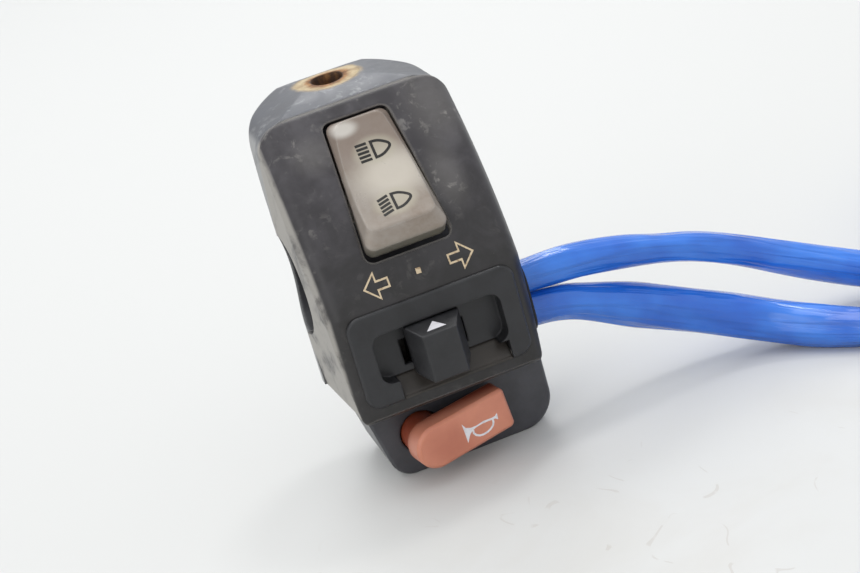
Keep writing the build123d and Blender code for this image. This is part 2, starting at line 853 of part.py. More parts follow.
def turn_bezel():
    with BuildPart() as bezel:
        with BuildSketch(facing(-face_depth)):
            with Locations((0, (bezel_top_z + bezel_low_z) / 2)):
                RectangleRounded(2 * bezel_half, bezel_top_z - bezel_low_z, bezel_corner)
        extrude(amount=bezel_proud)
        front_rim = bezel.faces().sort_by(Axis.Y)[0].edges()
        chamfer(front_rim, bezel_edge)
        rear_end = -face_depth - box_rear_y
        slab(facing(-face_depth), -box_half, box_half, box_low_z, box_top_z, rear_end, 0)
        for side in (-hook_x, hook_x):
            with BuildSketch(across(side - hook_wide / 2, 0, 0)):
                back = wall - face_depth + seat_gap
                with BuildLine() as line:
                    Polyline(
                        (back, box_top_z - overrun),
                        (back, box_top_z + hook_rise),
                        (back + hook_long, box_top_z),
                        (back + hook_long, box_top_z - overrun),
                        close=True,
                    )
                make_face(line.edges())
            extrude(amount=hook_wide)
        with BuildSketch(facing(pocket_floor_y)):
            with Locations(((pocket_left + pocket_right) / 2, (pocket_top_z + pocket_low_z) / 2)):
                RectangleRounded(pocket_right - pocket_left, pocket_top_z - pocket_low_z, pocket_corner)
        extrude(amount=pocket_depth + overrun, mode=Mode.SUBTRACT)
        slab(
            facing(pocket_floor_y),
            ramp_left - fit_gap,
            ramp_right + fit_gap,
            bezel_low_z - overrun,
            pocket_low_z,
            0,
            pocket_depth + overrun,
            Mode.SUBTRACT,
        )
        slot_half = knob_travel + neck_half + easy_gap
        slab(
            facing(box_floor_y),
            knob_x - slot_half,
            knob_x + slot_half,
            neck_low_z - easy_gap,
            neck_top_z + easy_gap,
            -overrun,
            floor_thick + overrun,
            Mode.SUBTRACT,
        )
        slab(
            facing(box_rear_y),
            box_side - box_half,
            box_half - box_side,
            box_low_z + box_wall,
            box_top_z - box_wall,
            -overrun,
            box_rear_y - box_floor_y,
            Mode.SUBTRACT,
        )
        notches = [(knob_x + step * knob_travel, ball_z) for step in (-1, 0, 1)]
        posts(facing(box_rear_y), notch_r, notches, 0, box_rear_y - box_floor_y, Mode.SUBTRACT)
        hole_deep = plate_screw_long - turn_plate_thick + overrun / 2
        posts(facing(box_rear_y), plate_screw_r + seat_gap, plate_screws(), 0, hole_deep, Mode.SUBTRACT)
    return bezel.part


def plate_screws():
    side = box_half - box_side / 2
    return ((side, plate_screw_z), (-side, plate_screw_z))


def turn_ramp():
    back = pocket_floor_y - seat_gap
    rest = -face_depth - seat_gap
    top = pocket_low_z - fit_gap
    low = bezel_low_z + fit_gap
    inner_low = box_low_z - ramp_sink + fit_gap
    with BuildPart() as ramp:
        with BuildSketch(across(ramp_left, 0, 0)):
            with BuildLine() as line:
                Polyline(
                    (back, top),
                    (bezel_front_y + ramp_top_back, low),
                    (rest, low),
                    (rest, inner_low),
                    (back, inner_low),
                    close=True,
                )
            make_face(line.edges())
        extrude(amount=ramp_right - ramp_left)
    return ramp.part


def turn_knob():
    skirt_back = pocket_floor_y - knob_back
    skirt_front = skirt_back - knob_waist
    face_y = skirt_back - knob_reach
    with BuildPart() as knob:
        slab(
            facing(skirt_back),
            knob_x - knob_half,
            knob_x + knob_half,
            knob_low_z,
            knob_top_z,
            0,
            knob_waist,
        )
        with BuildSketch(facing(skirt_front)):
            with Locations((knob_x, (knob_top_z + knob_low_z) / 2)):
                Rectangle(2 * knob_half, knob_top_z - knob_low_z)
        with BuildSketch(facing(face_y)):
            with Locations((knob_x, (knob_face_top_z + knob_face_low_z) / 2)):
                Rectangle(2 * knob_face_half, knob_face_top_z - knob_face_low_z)
        loft()
        fillet(knob.faces().sort_by(Axis.Y)[0].edges(), knob_edge)
        slab(
            facing(skirt_back),
            knob_x - neck_half,
            knob_x + neck_half,
            neck_low_z,
            neck_top_z,
            skirt_back - neck_end_y,
            0,
        )
        bore_mid = ((knob_x, (neck_top_z + neck_low_z) / 2),)
        posts(facing(neck_end_y), neck_bore_r, bore_mid, -overrun, neck_bore_deep, Mode.SUBTRACT)
    return knob.part


def knob_return_spring():
    start = hole_bottom_y - seat_gap
    length = neck_bore_deep + hole_bottom_y - neck_end_y - 2 * seat_gap
    place = Plane(origin=(knob_x, start, (neck_top_z + neck_low_z) / 2), x_dir=(1, 0, 0), z_dir=(0, -1, 0))
    return spring_solid(place, return_spring_coil, return_spring_wire, spring_turns, length)


def turn_carriage():
    with BuildPart() as carriage:
        slab(
            facing(carriage_rear_y),
            knob_x - carriage_half,
            knob_x + carriage_half,
            carriage_low_z,
            carriage_top_z,
            0,
            carriage_rear_y - box_floor_y - fit_gap,
        )
        slab(
            facing(hole_bottom_y),
            knob_x - neck_half - fit_gap,
            knob_x + neck_half + fit_gap,
            neck_low_z - fit_gap,
            neck_top_z + fit_gap,
            0,
            hole_bottom_y - box_floor_y + overrun,
            Mode.SUBTRACT,
        )
        top = Plane.XY.offset(carriage_top_z)
        posts(top, ball_bore_r, ((knob_x, ball_y),), -ball_bore_deep, overrun, Mode.SUBTRACT)
    return carriage.part


def turn_detent_ball():
    with BuildPart() as ball:
        with Locations((knob_x, ball_y, ball_z)):
            Sphere(ball_r)
    return ball.part


def turn_detent_spring():
    bottom = carriage_top_z - ball_bore_deep + seat_gap
    length = ball_z - ball_r - seat_gap - bottom
    place = Plane(origin=(knob_x, ball_y, bottom))
    return spring_solid(place, detent_spring_coil, detent_spring_wire, spring_turns - 1, length)


def turn_contact_bridge():
    with BuildPart() as bridge:
        slab(
            facing(carriage_rear_y + seat_gap),
            knob_x - bridge_half,
            knob_x + bridge_half,
            bridge_low_z,
            bridge_top_z,
            -bridge_thick,
            0,
        )
    return bridge.part


def pad_places():
    return tuple((knob_x + step * knob_travel, pad_mid_z - step * pad_pitch_z) for step in (-1, 0, 1))


def turn_contact_plate():
    with BuildPart() as plate:
        slab(
            facing(box_rear_y + seat_gap),
            -box_half,
            box_half,
            box_low_z,
            box_top_z,
            -turn_plate_thick,
            0,
        )
        behind = facing(box_rear_y)
        through = turn_plate_thick + overrun
        posts(behind, pad_shank_r + seat_gap, pad_places(), -through, overrun, Mode.SUBTRACT)
        posts(behind, plate_screw_r + fit_gap, plate_screws(), -through, overrun, Mode.SUBTRACT)
    return plate.part


def turn_contact_pads():
    front = facing(box_rear_y + seat_gap)
    with BuildPart() as pads:
        posts(front, pad_head_r, pad_places(), 0, pad_head_high)
        posts(front, pad_shank_r, pad_places(), -turn_plate_thick, 0)
        tail = turn_plate_thick + pad_tail_high
        posts(front, pad_head_r, pad_places(), -tail, -turn_plate_thick)
    return pads.part


def behind_plane(y):
    """upright plane at y that faces away from the rider, with x mirrored"""
    return Plane(origin=(0, y, 0), x_dir=(-1, 0, 0), z_dir=(0, 1, 0))


def mirrored(places):
    return tuple((-x, z) for x, z in places)


def turn_plate_screws():
    seat = behind_plane(box_rear_y + seat_gap + turn_plate_thick)
    places = mirrored(plate_screws())
    return screw_solid(seat, plate_screw_r, plate_head_r, plate_head_high, plate_screw_long, places)


def horn_carrier():
    with BuildPart() as carrier:
        with BuildSketch(facing(carrier_rear_y)):
            with BuildLine() as line:
                Polyline(
                    (carrier_left_top, under_z - seat_gap),
                    (carrier_left_low, carrier_low_z),
                    (carrier_right, carrier_low_z),
                    (carrier_right, under_z - seat_gap),
                    close=True,
                )
            outline = make_face(line.edges())
            rounded = fillet(outline.vertices().group_by(Axis.Y)[0].sort_by(Axis.X)[0], carrier_left_corner)
            fillet(rounded.vertices().group_by(Axis.Y)[0].sort_by(Axis.X)[-1], carrier_right_corner)
        depth = carrier_rear_y - carrier_front_y
        extrude(amount=depth)
        stem = ((stem_x, stem_z),)
        posts(facing(carrier_front_y), stem_r + easy_gap, stem, -carrier_wall - overrun, overrun, Mode.SUBTRACT)
        inner = -carrier_wall
        chamber_end = carrier_front_y - horn_plate_y
        posts(facing(carrier_front_y), chamber_r, stem, chamber_end, inner, Mode.SUBTRACT)
        slab(
            facing(carrier_rear_y),
            recess_left,
            recess_right,
            recess_low_z,
            recess_top_z,
            -overrun,
            carrier_rear_y - horn_plate_y,
            Mode.SUBTRACT,
        )
        slab(
            facing(horn_plate_y),
            side_pocket_left,
            recess_right,
            recess_low_z,
            recess_top_z,
            -overrun,
            horn_plate_y - side_pocket_front_y,
            Mode.SUBTRACT,
        )
        cover_y = carrier_rear_y - cover_thick - seat_gap
        posts(facing(cover_y), cover_post_r, cover_screws(), 0, cover_y - side_pocket_front_y)
        cover_deep = cover_screw_long - cover_thick + overrun / 2
        posts(facing(cover_y), horn_screw_r + seat_gap, cover_screws(), 0, cover_deep, Mode.SUBTRACT)
        plate_deep = horn_screw_long - horn_plate_thick + overrun / 2
        posts(facing(horn_plate_y), horn_screw_r + seat_gap, horn_screws(), 0, plate_deep, Mode.SUBTRACT)
        top = Plane.XY.offset(under_z)
        down = carrier_screw_long - wall + overrun / 4
        posts(top, carrier_screw_r + seat_gap, carrier_screws, -down, overrun, Mode.SUBTRACT)
        roof = under_z - recess_top_z + overrun
        posts(top, lead_hole_r, ((lead_hole_x, lead_hole_y),), -roof, overrun, Mode.SUBTRACT)
        front_rim = carrier.faces().sort_by(Axis.Y)[0].outer_wire().edges()
        chamfer(front_rim.filter_by(lambda e: e.center().Z < under_z - overrun), carrier_edge)
    return carrier.part


def horn_screws():
    return ((horn_screw_x, stem_z + horn_screw_z), (horn_screw_x, stem_z - horn_screw_z))


def cover_screws():
    inset = cover_post_inset
    return (
        (side_pocket_left + inset, recess_top_z - inset),
        (recess_right - inset, recess_low_z + inset),
    )


def cap_plane(out):
    """plane of the horn cap: turned and tipped about the stem, at a height above the carrier's front"""
    return Plane(
        origin=(stem_x, carrier_front_y - out, stem_z),
        x_dir=(cos(radians(cap_yaw)), sin(radians(cap_yaw)), sin(radians(cap_roll))),
        z_dir=(sin(radians(cap_yaw)), -cos(radians(cap_yaw)), 0),
    )


def cap_shape(shrink):
    """cap outline: half round round the stem, square at its far end"""
    end_r = cap_end_r - shrink
    side = cap_half - shrink
    far = cap_long - shrink
    with BuildLine() as line:
        ThreePointArc((0, end_r), (-end_r, 0), (0, -end_r))
        Line((0, -end_r), (far, -side))
        Line((far, -side), (far, side))
        Line((far, side), (0, end_r))
    outline = make_face(line.edges())
    fillet(outline.vertices().group_by(Axis.X)[-1], cap_corner)


def horn_button():
    cap_back = cap_front - cap_thick
    with BuildPart() as button:
        with BuildSketch(cap_plane(cap_back)):
            cap_shape(0)
        extrude(amount=cap_thick)
        chamfer(button.faces().sort_by(Axis(cap_plane(0).origin, cap_plane(0).z_dir))[-1].edges(), cap_edge)
        stem = ((stem_x, stem_z),)
        flange_front = carrier_front_y + carrier_wall + seat_gap
        flange_back = flange_front + flange_thick
        posts(facing(flange_back), stem_r, stem, 0, flange_back - carrier_front_y + cap_back + cap_edge)
        posts(facing(flange_back), flange_r, stem, 0, flange_thick)
        posts(facing(flange_back), tail_r, stem, flange_back - disc_y, 0)
    return button.part


def horn_contact_disc():
    stem = ((stem_x, stem_z),)
    with BuildPart() as disc:
        posts(facing(disc_y), disc_r, stem, -disc_thick, 0)
    return disc.part


def horn_spring():
    flange_back = carrier_front_y + carrier_wall + seat_gap + flange_thick
    place = Plane(origin=(stem_x, horn_plate_y - seat_gap, stem_z), x_dir=(1, 0, 0), z_dir=(0, -1, 0))
    length = horn_plate_y - flange_back - 2 * seat_gap
    return spring_solid(place, horn_spring_coil, horn_spring_wire, spring_turns, length)


def horn_contact_places():
    return ((stem_x - horn_contact_x, stem_z), (stem_x + horn_contact_x, stem_z))


def horn_contact_plate():
    with BuildPart() as plate:
        right = side_pocket_left - fit_gap
        slab(
            facing(horn_plate_y),
            recess_left + fit_gap,
            right,
            recess_low_z + fit_gap,
            recess_top_z - fit_gap,
            -horn_plate_thick,
            0,
        )
        through = horn_plate_thick + overrun
        shanks = horn_contact_places()
        posts(facing(horn_plate_y), horn_shank_r + seat_gap, shanks, -through, overrun, Mode.SUBTRACT)
        posts(facing(horn_plate_y), horn_screw_r + fit_gap, horn_screws(), -through, overrun, Mode.SUBTRACT)
    return plate.part


def horn_contacts():
    places = horn_contact_places()
    tail = horn_plate_thick + horn_tail_high
    with BuildPart() as contacts:
        posts(facing(horn_plate_y), horn_head_r, places, 0, horn_head_high)
        posts(facing(horn_plate_y), horn_shank_r, places, -horn_plate_thick, 0)
        posts(facing(horn_plate_y), horn_head_r, places, -tail, -horn_plate_thick)
    return contacts.part


def horn_plate_screws():
    seat = behind_plane(horn_plate_y + horn_plate_thick)
    places = mirrored(horn_screws())
    return screw_solid(seat, horn_screw_r, horn_screw_head_r, horn_screw_head_high, horn_screw_long, places)


def horn_rear_cover():
    with BuildPart() as cover:
        slab(
            facing(carrier_rear_y),
            recess_left + fit_gap,
            recess_right - fit_gap,
            recess_low_z + fit_gap,
            recess_top_z - fit_gap,
            0,
            cover_thick,
        )
        posts(facing(carrier_rear_y), horn_screw_r + fit_gap, cover_screws(), -overrun, wall, Mode.SUBTRACT)
    return cover.part


def horn_cover_screws():
    places = mirrored(cover_screws())
    seat = behind_plane(carrier_rear_y)
    return screw_solid(seat, horn_screw_r, horn_screw_head_r, horn_screw_head_high, cover_screw_long, places)


def horn_carrier_screws():
    seat = Plane.XY.offset(cavity_floor_z)
    return screw_solid(
        seat, carrier_screw_r, carrier_head_r, carrier_head_high, carrier_screw_long, carrier_screws
    )


def case_screws():
    upper = screw_solid(
        behind_plane(upper_seat_y),
        case_screw_r,
        case_head_r,
        case_head_high,
        case_screw_long,
        mirrored(upper_screws),
    )
    lower = screw_solid(
        behind_plane(lower_seat_y),
        case_screw_r,
        case_head_r,
        case_head_high,
        case_screw_long,
        mirrored(lower_screws),
    )
    with BuildPart() as screws:
        add(upper)
        add(lower)
    return screws.part


def dimmer_base_screws():
    bottom = plate_top_depth + plate_thick
    flipped = Plane(
        origin=dimmer_plane.from_local_coords(Vector(0, 0, -bottom)),
        x_dir=(-1, 0, 0),
        z_dir=-dimmer_plane.z_dir,
    )
    places = mirrored(dimmer_screws)
    return screw_solid(flipped, dimmer_screw_r, dimmer_head_r, dimmer_head_high, dimmer_screw_long, places)


def cable_grommet():
    with BuildPart() as grommet:
        with BuildSketch(across(cavity_half, 0, 0)):
            cable_outline(grommet_wall)
        extrude(amount=end_wall)
        with BuildSketch(across(cavity_half - overrun, 0, 0)):
            cable_outline(fit_gap)
        extrude(amount=end_wall + 2 * overrun, mode=Mode.SUBTRACT)
    return grommet.part


# Routes of the leads inside the case, from each switch to the mouth of its sleeve
dimmer_lead_route = [
    (2.4, -1.17, 14.22),
    (6.2, -1.9, 13.6),
    (10.3, -3.5, 11.9),
    (11.2, -9.4, 9.4),
    (10.6, -13.2, 2.3),
    (9.5, -12.1, -3.5),
    (12.5, -11.9, -8.25),
    (17.0, -11.9, -8.25),
]
horn_lead_route = [
    (-4.8, 1.75, -34.8),
    (3.8, 1.9, -34.6),
    (8.2, -3.0, -33.0),
    (9.0, -5.5, -27.5),
    (9.0, -5.6, -18.4),
    (12.8, -11.0, -18.3),
    (17.0, -11.0, -18.3),
]

# Routes of the two sleeves from inside the grommet down to the surface and along it.
# The large sleeve is coiled on the surface, and the small one lies on it, turn on turn.
small_route = [
    (17.0, -13.0, -11.0),
    (28.5, -13.0, -11.0),
    (41.0, -12.6, -12.9),
    (55.0, -12.2, -16.4),
    (67.0, -12.0, -21.5),
    (78.5, -12.2, -28.0),
    (88.6, -12.9, -33.3),
    (97.2, -17.2, -36.8),
    (104.8, -24.2, -38.8),
    (111.2, -32.2, -38.2),
    (118.6, -39.6, -35.9),
    (127.2, -45.4, -33.4),
]
large_route = [
    (17.0, -13.0, -18.3),
    (27.0, -13.0, -18.3),
    (38.0, -13.2, -22.8),
    (49.5, -13.4, -28.4),
    (60.3, -15.2, -33.4),
    (70.2, -20.2, -37.4),
    (78.6, -28.0, -39.5),
    (86.4, -36.8, -39.8),
    (95.6, -44.6, -39.8),
    (107.3, -49.8, -39.8),
    (118.4, -51.8, -39.8),
    (129.6, -51.6, -39.8),
]


def turned(angle):
    """unit direction in the horizontal plane"""
    return Vector(cos(radians(angle)), sin(radians(angle)), 0)


def ring_arcs(centre):
    """centre, radius, start angle and turn of each arc of a coil that winds inwards"""
    step = large_r + coil_pitch_gap / 2
    tail_r = tail_bend_share * 2 * large_r
    opposite = turned(ring_start)
    second = centre - opposite * step
    third = centre + opposite * (ring_r - 2 * step - tail_r)
    return [
        (centre, ring_r, ring_start, 180),
        (second, ring_r - step, ring_start + 180, 180),
        (third, tail_r, ring_start, tail_turn),
    ]


def ring_path(height):
    """start, arcs and end of a coil whose two ends run straight for one diameter"""
    centre = Vector(ring_x, ring_y, height)
    arcs = ring_arcs(centre)
    entry = centre + turned(ring_start) * ring_r
    start = entry - turned(ring_start + 90) * 2 * large_r
    last_centre, last_r, last_angle, last_turn = arcs[-1]
    leave = last_centre + turned(last_angle + last_turn) * last_r
    heading = turned(last_angle + last_turn + 90)
    return start, entry, arcs, leave, leave + heading * 2 * large_r, heading


def ring_gap(arcs, tube_r):
    """least gap between neighbouring turns, measured on points along the coil"""
    points = []
    for centre, radius, start_angle, turn in arcs:
        count = round(turn / 3)
        points += [centre + turned(start_angle + turn * i / count) * radius for i in range(count)]
    apart = round(240 / 3)
    far = [(p - q).length for i, p in enumerate(points) for q in points[i + apart:]]
    return min(far) - 2 * tube_r


def ring_solid(name, height, tube_r):
    start, entry, arcs, leave, end, heading = ring_path(height)
    with BuildPart() as ring:
        with BuildLine() as path:
            Line(start, entry)
            for middle, radius, first, turn in arcs:
                ThreePointArc(
                    middle + turned(first) * radius,
                    middle + turned(first + turn / 2) * radius,
                    middle + turned(first + turn) * radius,
                )
            Line(leave, end)
        with BuildSketch(Plane(origin=start, z_dir=entry - start)):
            Circle(tube_r)
        sweep(path=path.wires()[0])
    length = path.wires()[0].length
    print(name, "length", round(length, 1), "least gap", round(ring_gap(arcs, tube_r), 2))
    print(name, "volume against section times length", round(ring.part.volume / (pi * tube_r**2 * length), 4))
    return ring.part


large_ring = (carrier_low_z + large_r, large_r)
small_ring = (carrier_low_z + 2 * large_r + coil_stack_gap + small_r, small_r)


def run_solid(name, route, ring):
    """free stretch of a sleeve, ending straight in line with the start of its coil"""
    height, tube_r = ring
    start, entry = ring_path(height)[:2]
    before = start - (entry - start).normalized() * run_in
    return tube_solid(route + [tuple(before), tuple(start)], tube_r, name)


def small_sleeve_run():
    return run_solid("small_sleeve_run", small_route, small_ring)


def large_sleeve_run():
    return run_solid("large_sleeve_run", large_route, large_ring)


def small_sleeve_coil():
    return ring_solid("small_sleeve_coil", *small_ring)


def large_sleeve_coil():
    return ring_solid("large_sleeve_coil", *large_ring)


def tail_plane(ring):
    """plane at the end of a sleeve that faces on along it: local x across the floor, local y up"""
    end, heading = ring_path(ring[0])[4:]
    return Plane(origin=end, x_dir=heading.cross(Vector(0, 0, 1)), z_dir=heading)


def wires_solid(ring):
    places = [
        (wire_ring_r * turned(45 + 360 * i / wire_count).X, wire_ring_r * turned(45 + 360 * i / wire_count).Y)
        for i in range(wire_count)
    ]
    with BuildPart() as wires:
        posts(tail_plane(ring), wire_r, places, 0, wire_long)
    return wires.part


def connector_solid(ring):
    """nylon plug body with a row of terminal holes in its mouth and a latch on top"""
    high = 2 * ring[-1]
    plane = tail_plane(ring).offset(wire_long)
    half = connector_wide / 2
    with BuildPart() as connector:
        slab(plane, -half, half, -high / 2, high / 2 - latch_sink, 0, connector_long)
        chamfer(connector.edges(), connector_edge)
        start = (connector_long - latch_long) / 2
        slab(plane, -latch_wide / 2, latch_wide / 2, 0, high / 2, start, start + latch_long)
        mouth = connector_long - connector_hole_deep
        row = [(column * connector_cell, -latch_sink / 2) for column in (-1, 0, 1)]
        posts(plane, connector_hole_r, row, mouth, connector_long + overrun, Mode.SUBTRACT)
    return connector.part


def small_sleeve_wires():
    return wires_solid(small_ring)


def large_sleeve_wires():
    return wires_solid(large_ring)


def small_sleeve_connector():
    return connector_solid(small_ring)


def large_sleeve_connector():
    return connector_solid(large_ring)


def turn_leads():
    tail_y = box_rear_y + seat_gap + turn_plate_thick + pad_tail_high + seat_gap
    with BuildPart() as leads:
        for x, z in pad_places():
            with BuildSketch(across(x, tail_y + turn_lead_r, z)):
                Circle(turn_lead_r)
            extrude(amount=sleeve_inner_x - x)
    return leads.part


def dimmer_leads():
    return tube_solid(dimmer_lead_route, lead_r, "dimmer_leads")


def horn_leads():
    return tube_solid(horn_lead_route, lead_r, "horn_leads")


pieces = {
    "front_case": front_case,
    "rear_case": rear_case,
    "case_screws": case_screws,
    "rocker_button": rocker_button,
    "rocker_pivot_pins": rocker_pivot_pins,
    "dimmer_base": dimmer_base,
    "dimmer_base_screws": dimmer_base_screws,
    "dimmer_contacts": dimmer_contacts,
    "dimmer_contact_blade": dimmer_contact_blade,
    "dimmer_plunger": dimmer_plunger,
    "dimmer_spring": dimmer_spring,
    "turn_bezel": turn_bezel,
    "turn_ramp": turn_ramp,
    "turn_knob": turn_knob,
    "knob_return_spring": knob_return_spring,
    "turn_carriage": turn_carriage,
    "turn_detent_ball": turn_detent_ball,
    "turn_detent_spring": turn_detent_spring,
    "turn_contact_bridge": turn_contact_bridge,
    "turn_contact_plate": turn_contact_plate,
    "turn_contact_pads": turn_contact_pads,
    "turn_plate_screws": turn_plate_screws,
    "horn_carrier": horn_carrier,
    "horn_button": horn_button,
    "horn_contact_disc": horn_contact_disc,
    "horn_spring": horn_spring,
    "horn_contact_plate": horn_contact_plate,
    "horn_contacts": horn_contacts,
    "horn_plate_screws": horn_plate_screws,
    "horn_rear_cover": horn_rear_cover,
    "horn_cover_screws": horn_cover_screws,
    "horn_carrier_screws": horn_carrier_screws,
    "cable_grommet": cable_grommet,
    "turn_leads": turn_leads,
    "dimmer_leads": dimmer_leads,
    "horn_leads": horn_leads,
    "small_sleeve_run": small_sleeve_run,
    "small_sleeve_coil": small_sleeve_coil,
    "small_sleeve_wires": small_sleeve_wires,
    "small_sleeve_connector": small_sleeve_connector,
    "large_sleeve_run": large_sleeve_run,
    "large_sleeve_coil": large_sleeve_coil,
    "large_sleeve_wires": large_sleeve_wires,
    "large_sleeve_connector": large_sleeve_connector,
}

os.makedirs("parts", exist_ok=True)
for name, make in pieces.items():
    piece = make()
    piece.label = name
    export_step(piece, f"parts/{name}.step")
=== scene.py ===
"""Looks of the handlebar switch cluster: stage, camera, cables, printed marks and finishes."""

import json
import math

import bmesh
import bpy
from mathutils import Matrix, Vector
from mathutils.bvhtree import BVHTree


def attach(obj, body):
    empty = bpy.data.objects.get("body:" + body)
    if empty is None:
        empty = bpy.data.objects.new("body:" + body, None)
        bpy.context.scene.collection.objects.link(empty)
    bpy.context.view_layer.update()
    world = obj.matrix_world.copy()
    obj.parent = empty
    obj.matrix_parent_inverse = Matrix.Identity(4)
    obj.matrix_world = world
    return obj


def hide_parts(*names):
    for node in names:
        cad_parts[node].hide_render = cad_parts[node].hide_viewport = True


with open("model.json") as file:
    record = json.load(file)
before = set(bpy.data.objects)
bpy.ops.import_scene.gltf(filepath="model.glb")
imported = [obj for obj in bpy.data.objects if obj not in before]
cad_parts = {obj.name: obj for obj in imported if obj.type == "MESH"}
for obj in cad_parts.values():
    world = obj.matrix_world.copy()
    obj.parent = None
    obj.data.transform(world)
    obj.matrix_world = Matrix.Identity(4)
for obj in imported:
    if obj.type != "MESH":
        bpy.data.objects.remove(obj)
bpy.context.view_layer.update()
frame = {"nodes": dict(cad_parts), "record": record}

MM = 0.001
FLOOR_Z = -43.5 * MM


def mm(*values):
    return Vector(v * MM for v in values)


# The sRGB curve: straight up to the end of its toe, and a power above it.
TOE_END = 0.04045
TOE_SLOPE = 12.92
CURVE_SHIFT = 0.055
CURVE_POWER = 2.4


def unbend(value):
    """One channel of a written colour, from 0 to 1, as a linear value."""
    if value <= TOE_END:
        return value / TOE_SLOPE
    return ((value + CURVE_SHIFT) / (1 + CURVE_SHIFT)) ** CURVE_POWER


def paint(code):
    """A colour written as six hexadecimal digits, as the shader's linear values."""
    return (*(unbend(int(code[i : i + 2], 16) / 255) for i in (0, 2, 4)), 1.0)


# The camera looks at the cluster from the front, a little from the left and from above.
CAMERA_AZIMUTH = math.radians(11)
CAMERA_ELEVATION = math.radians(20)
CAMERA_ROLL = math.radians(16.42)
CAMERA_AWAY = 420 * MM
FOCAL_PX = 2021.5
FRAME_WIDE_PX = 860
ORIGIN_FROM_MIDDLE_PX = (-39.9, 38.2)
SENSOR_MM = 36
CLIP_NEAR = 0.01
CLIP_FAR = 50


def place_camera():
    az, el, roll = CAMERA_AZIMUTH, CAMERA_ELEVATION, CAMERA_ROLL
    back = Vector((-math.sin(az) * math.cos(el), -math.cos(az) * math.cos(el), math.sin(el)))
    right = Vector((math.cos(az), -math.sin(az), 0))
    up = back.cross(right)
    across = math.cos(roll) * right - math.sin(roll) * up
    upward = math.sin(roll) * right + math.cos(roll) * up
    turn = Matrix((across, upward, back)).transposed()
    to_origin = Vector((*ORIGIN_FROM_MIDDLE_PX, -FOCAL_PX))
    aim = Vector((0, 0, -1)).rotation_difference(to_origin).to_matrix()
    lens = bpy.data.cameras.new("camera")
    lens.sensor_width = SENSOR_MM
    lens.lens = SENSOR_MM * FOCAL_PX / FRAME_WIDE_PX
    lens.clip_start = CLIP_NEAR
    lens.clip_end = CLIP_FAR
    camera = bpy.data.objects.new("camera", lens)
    camera.matrix_world = Matrix.Translation(back * CAMERA_AWAY) @ (turn @ aim.inverted()).to_4x4()
    bpy.context.collection.objects.link(camera)
    bpy.context.scene.camera = camera


# The Mix node's sockets by number, as its kinds share their names: low, high and result.
MIX_FACTOR = 0
MIX_NUMBERS = (2, 3, 0)
MIX_COLOURS = (6, 7, 2)

X, Y, Z = range(3)


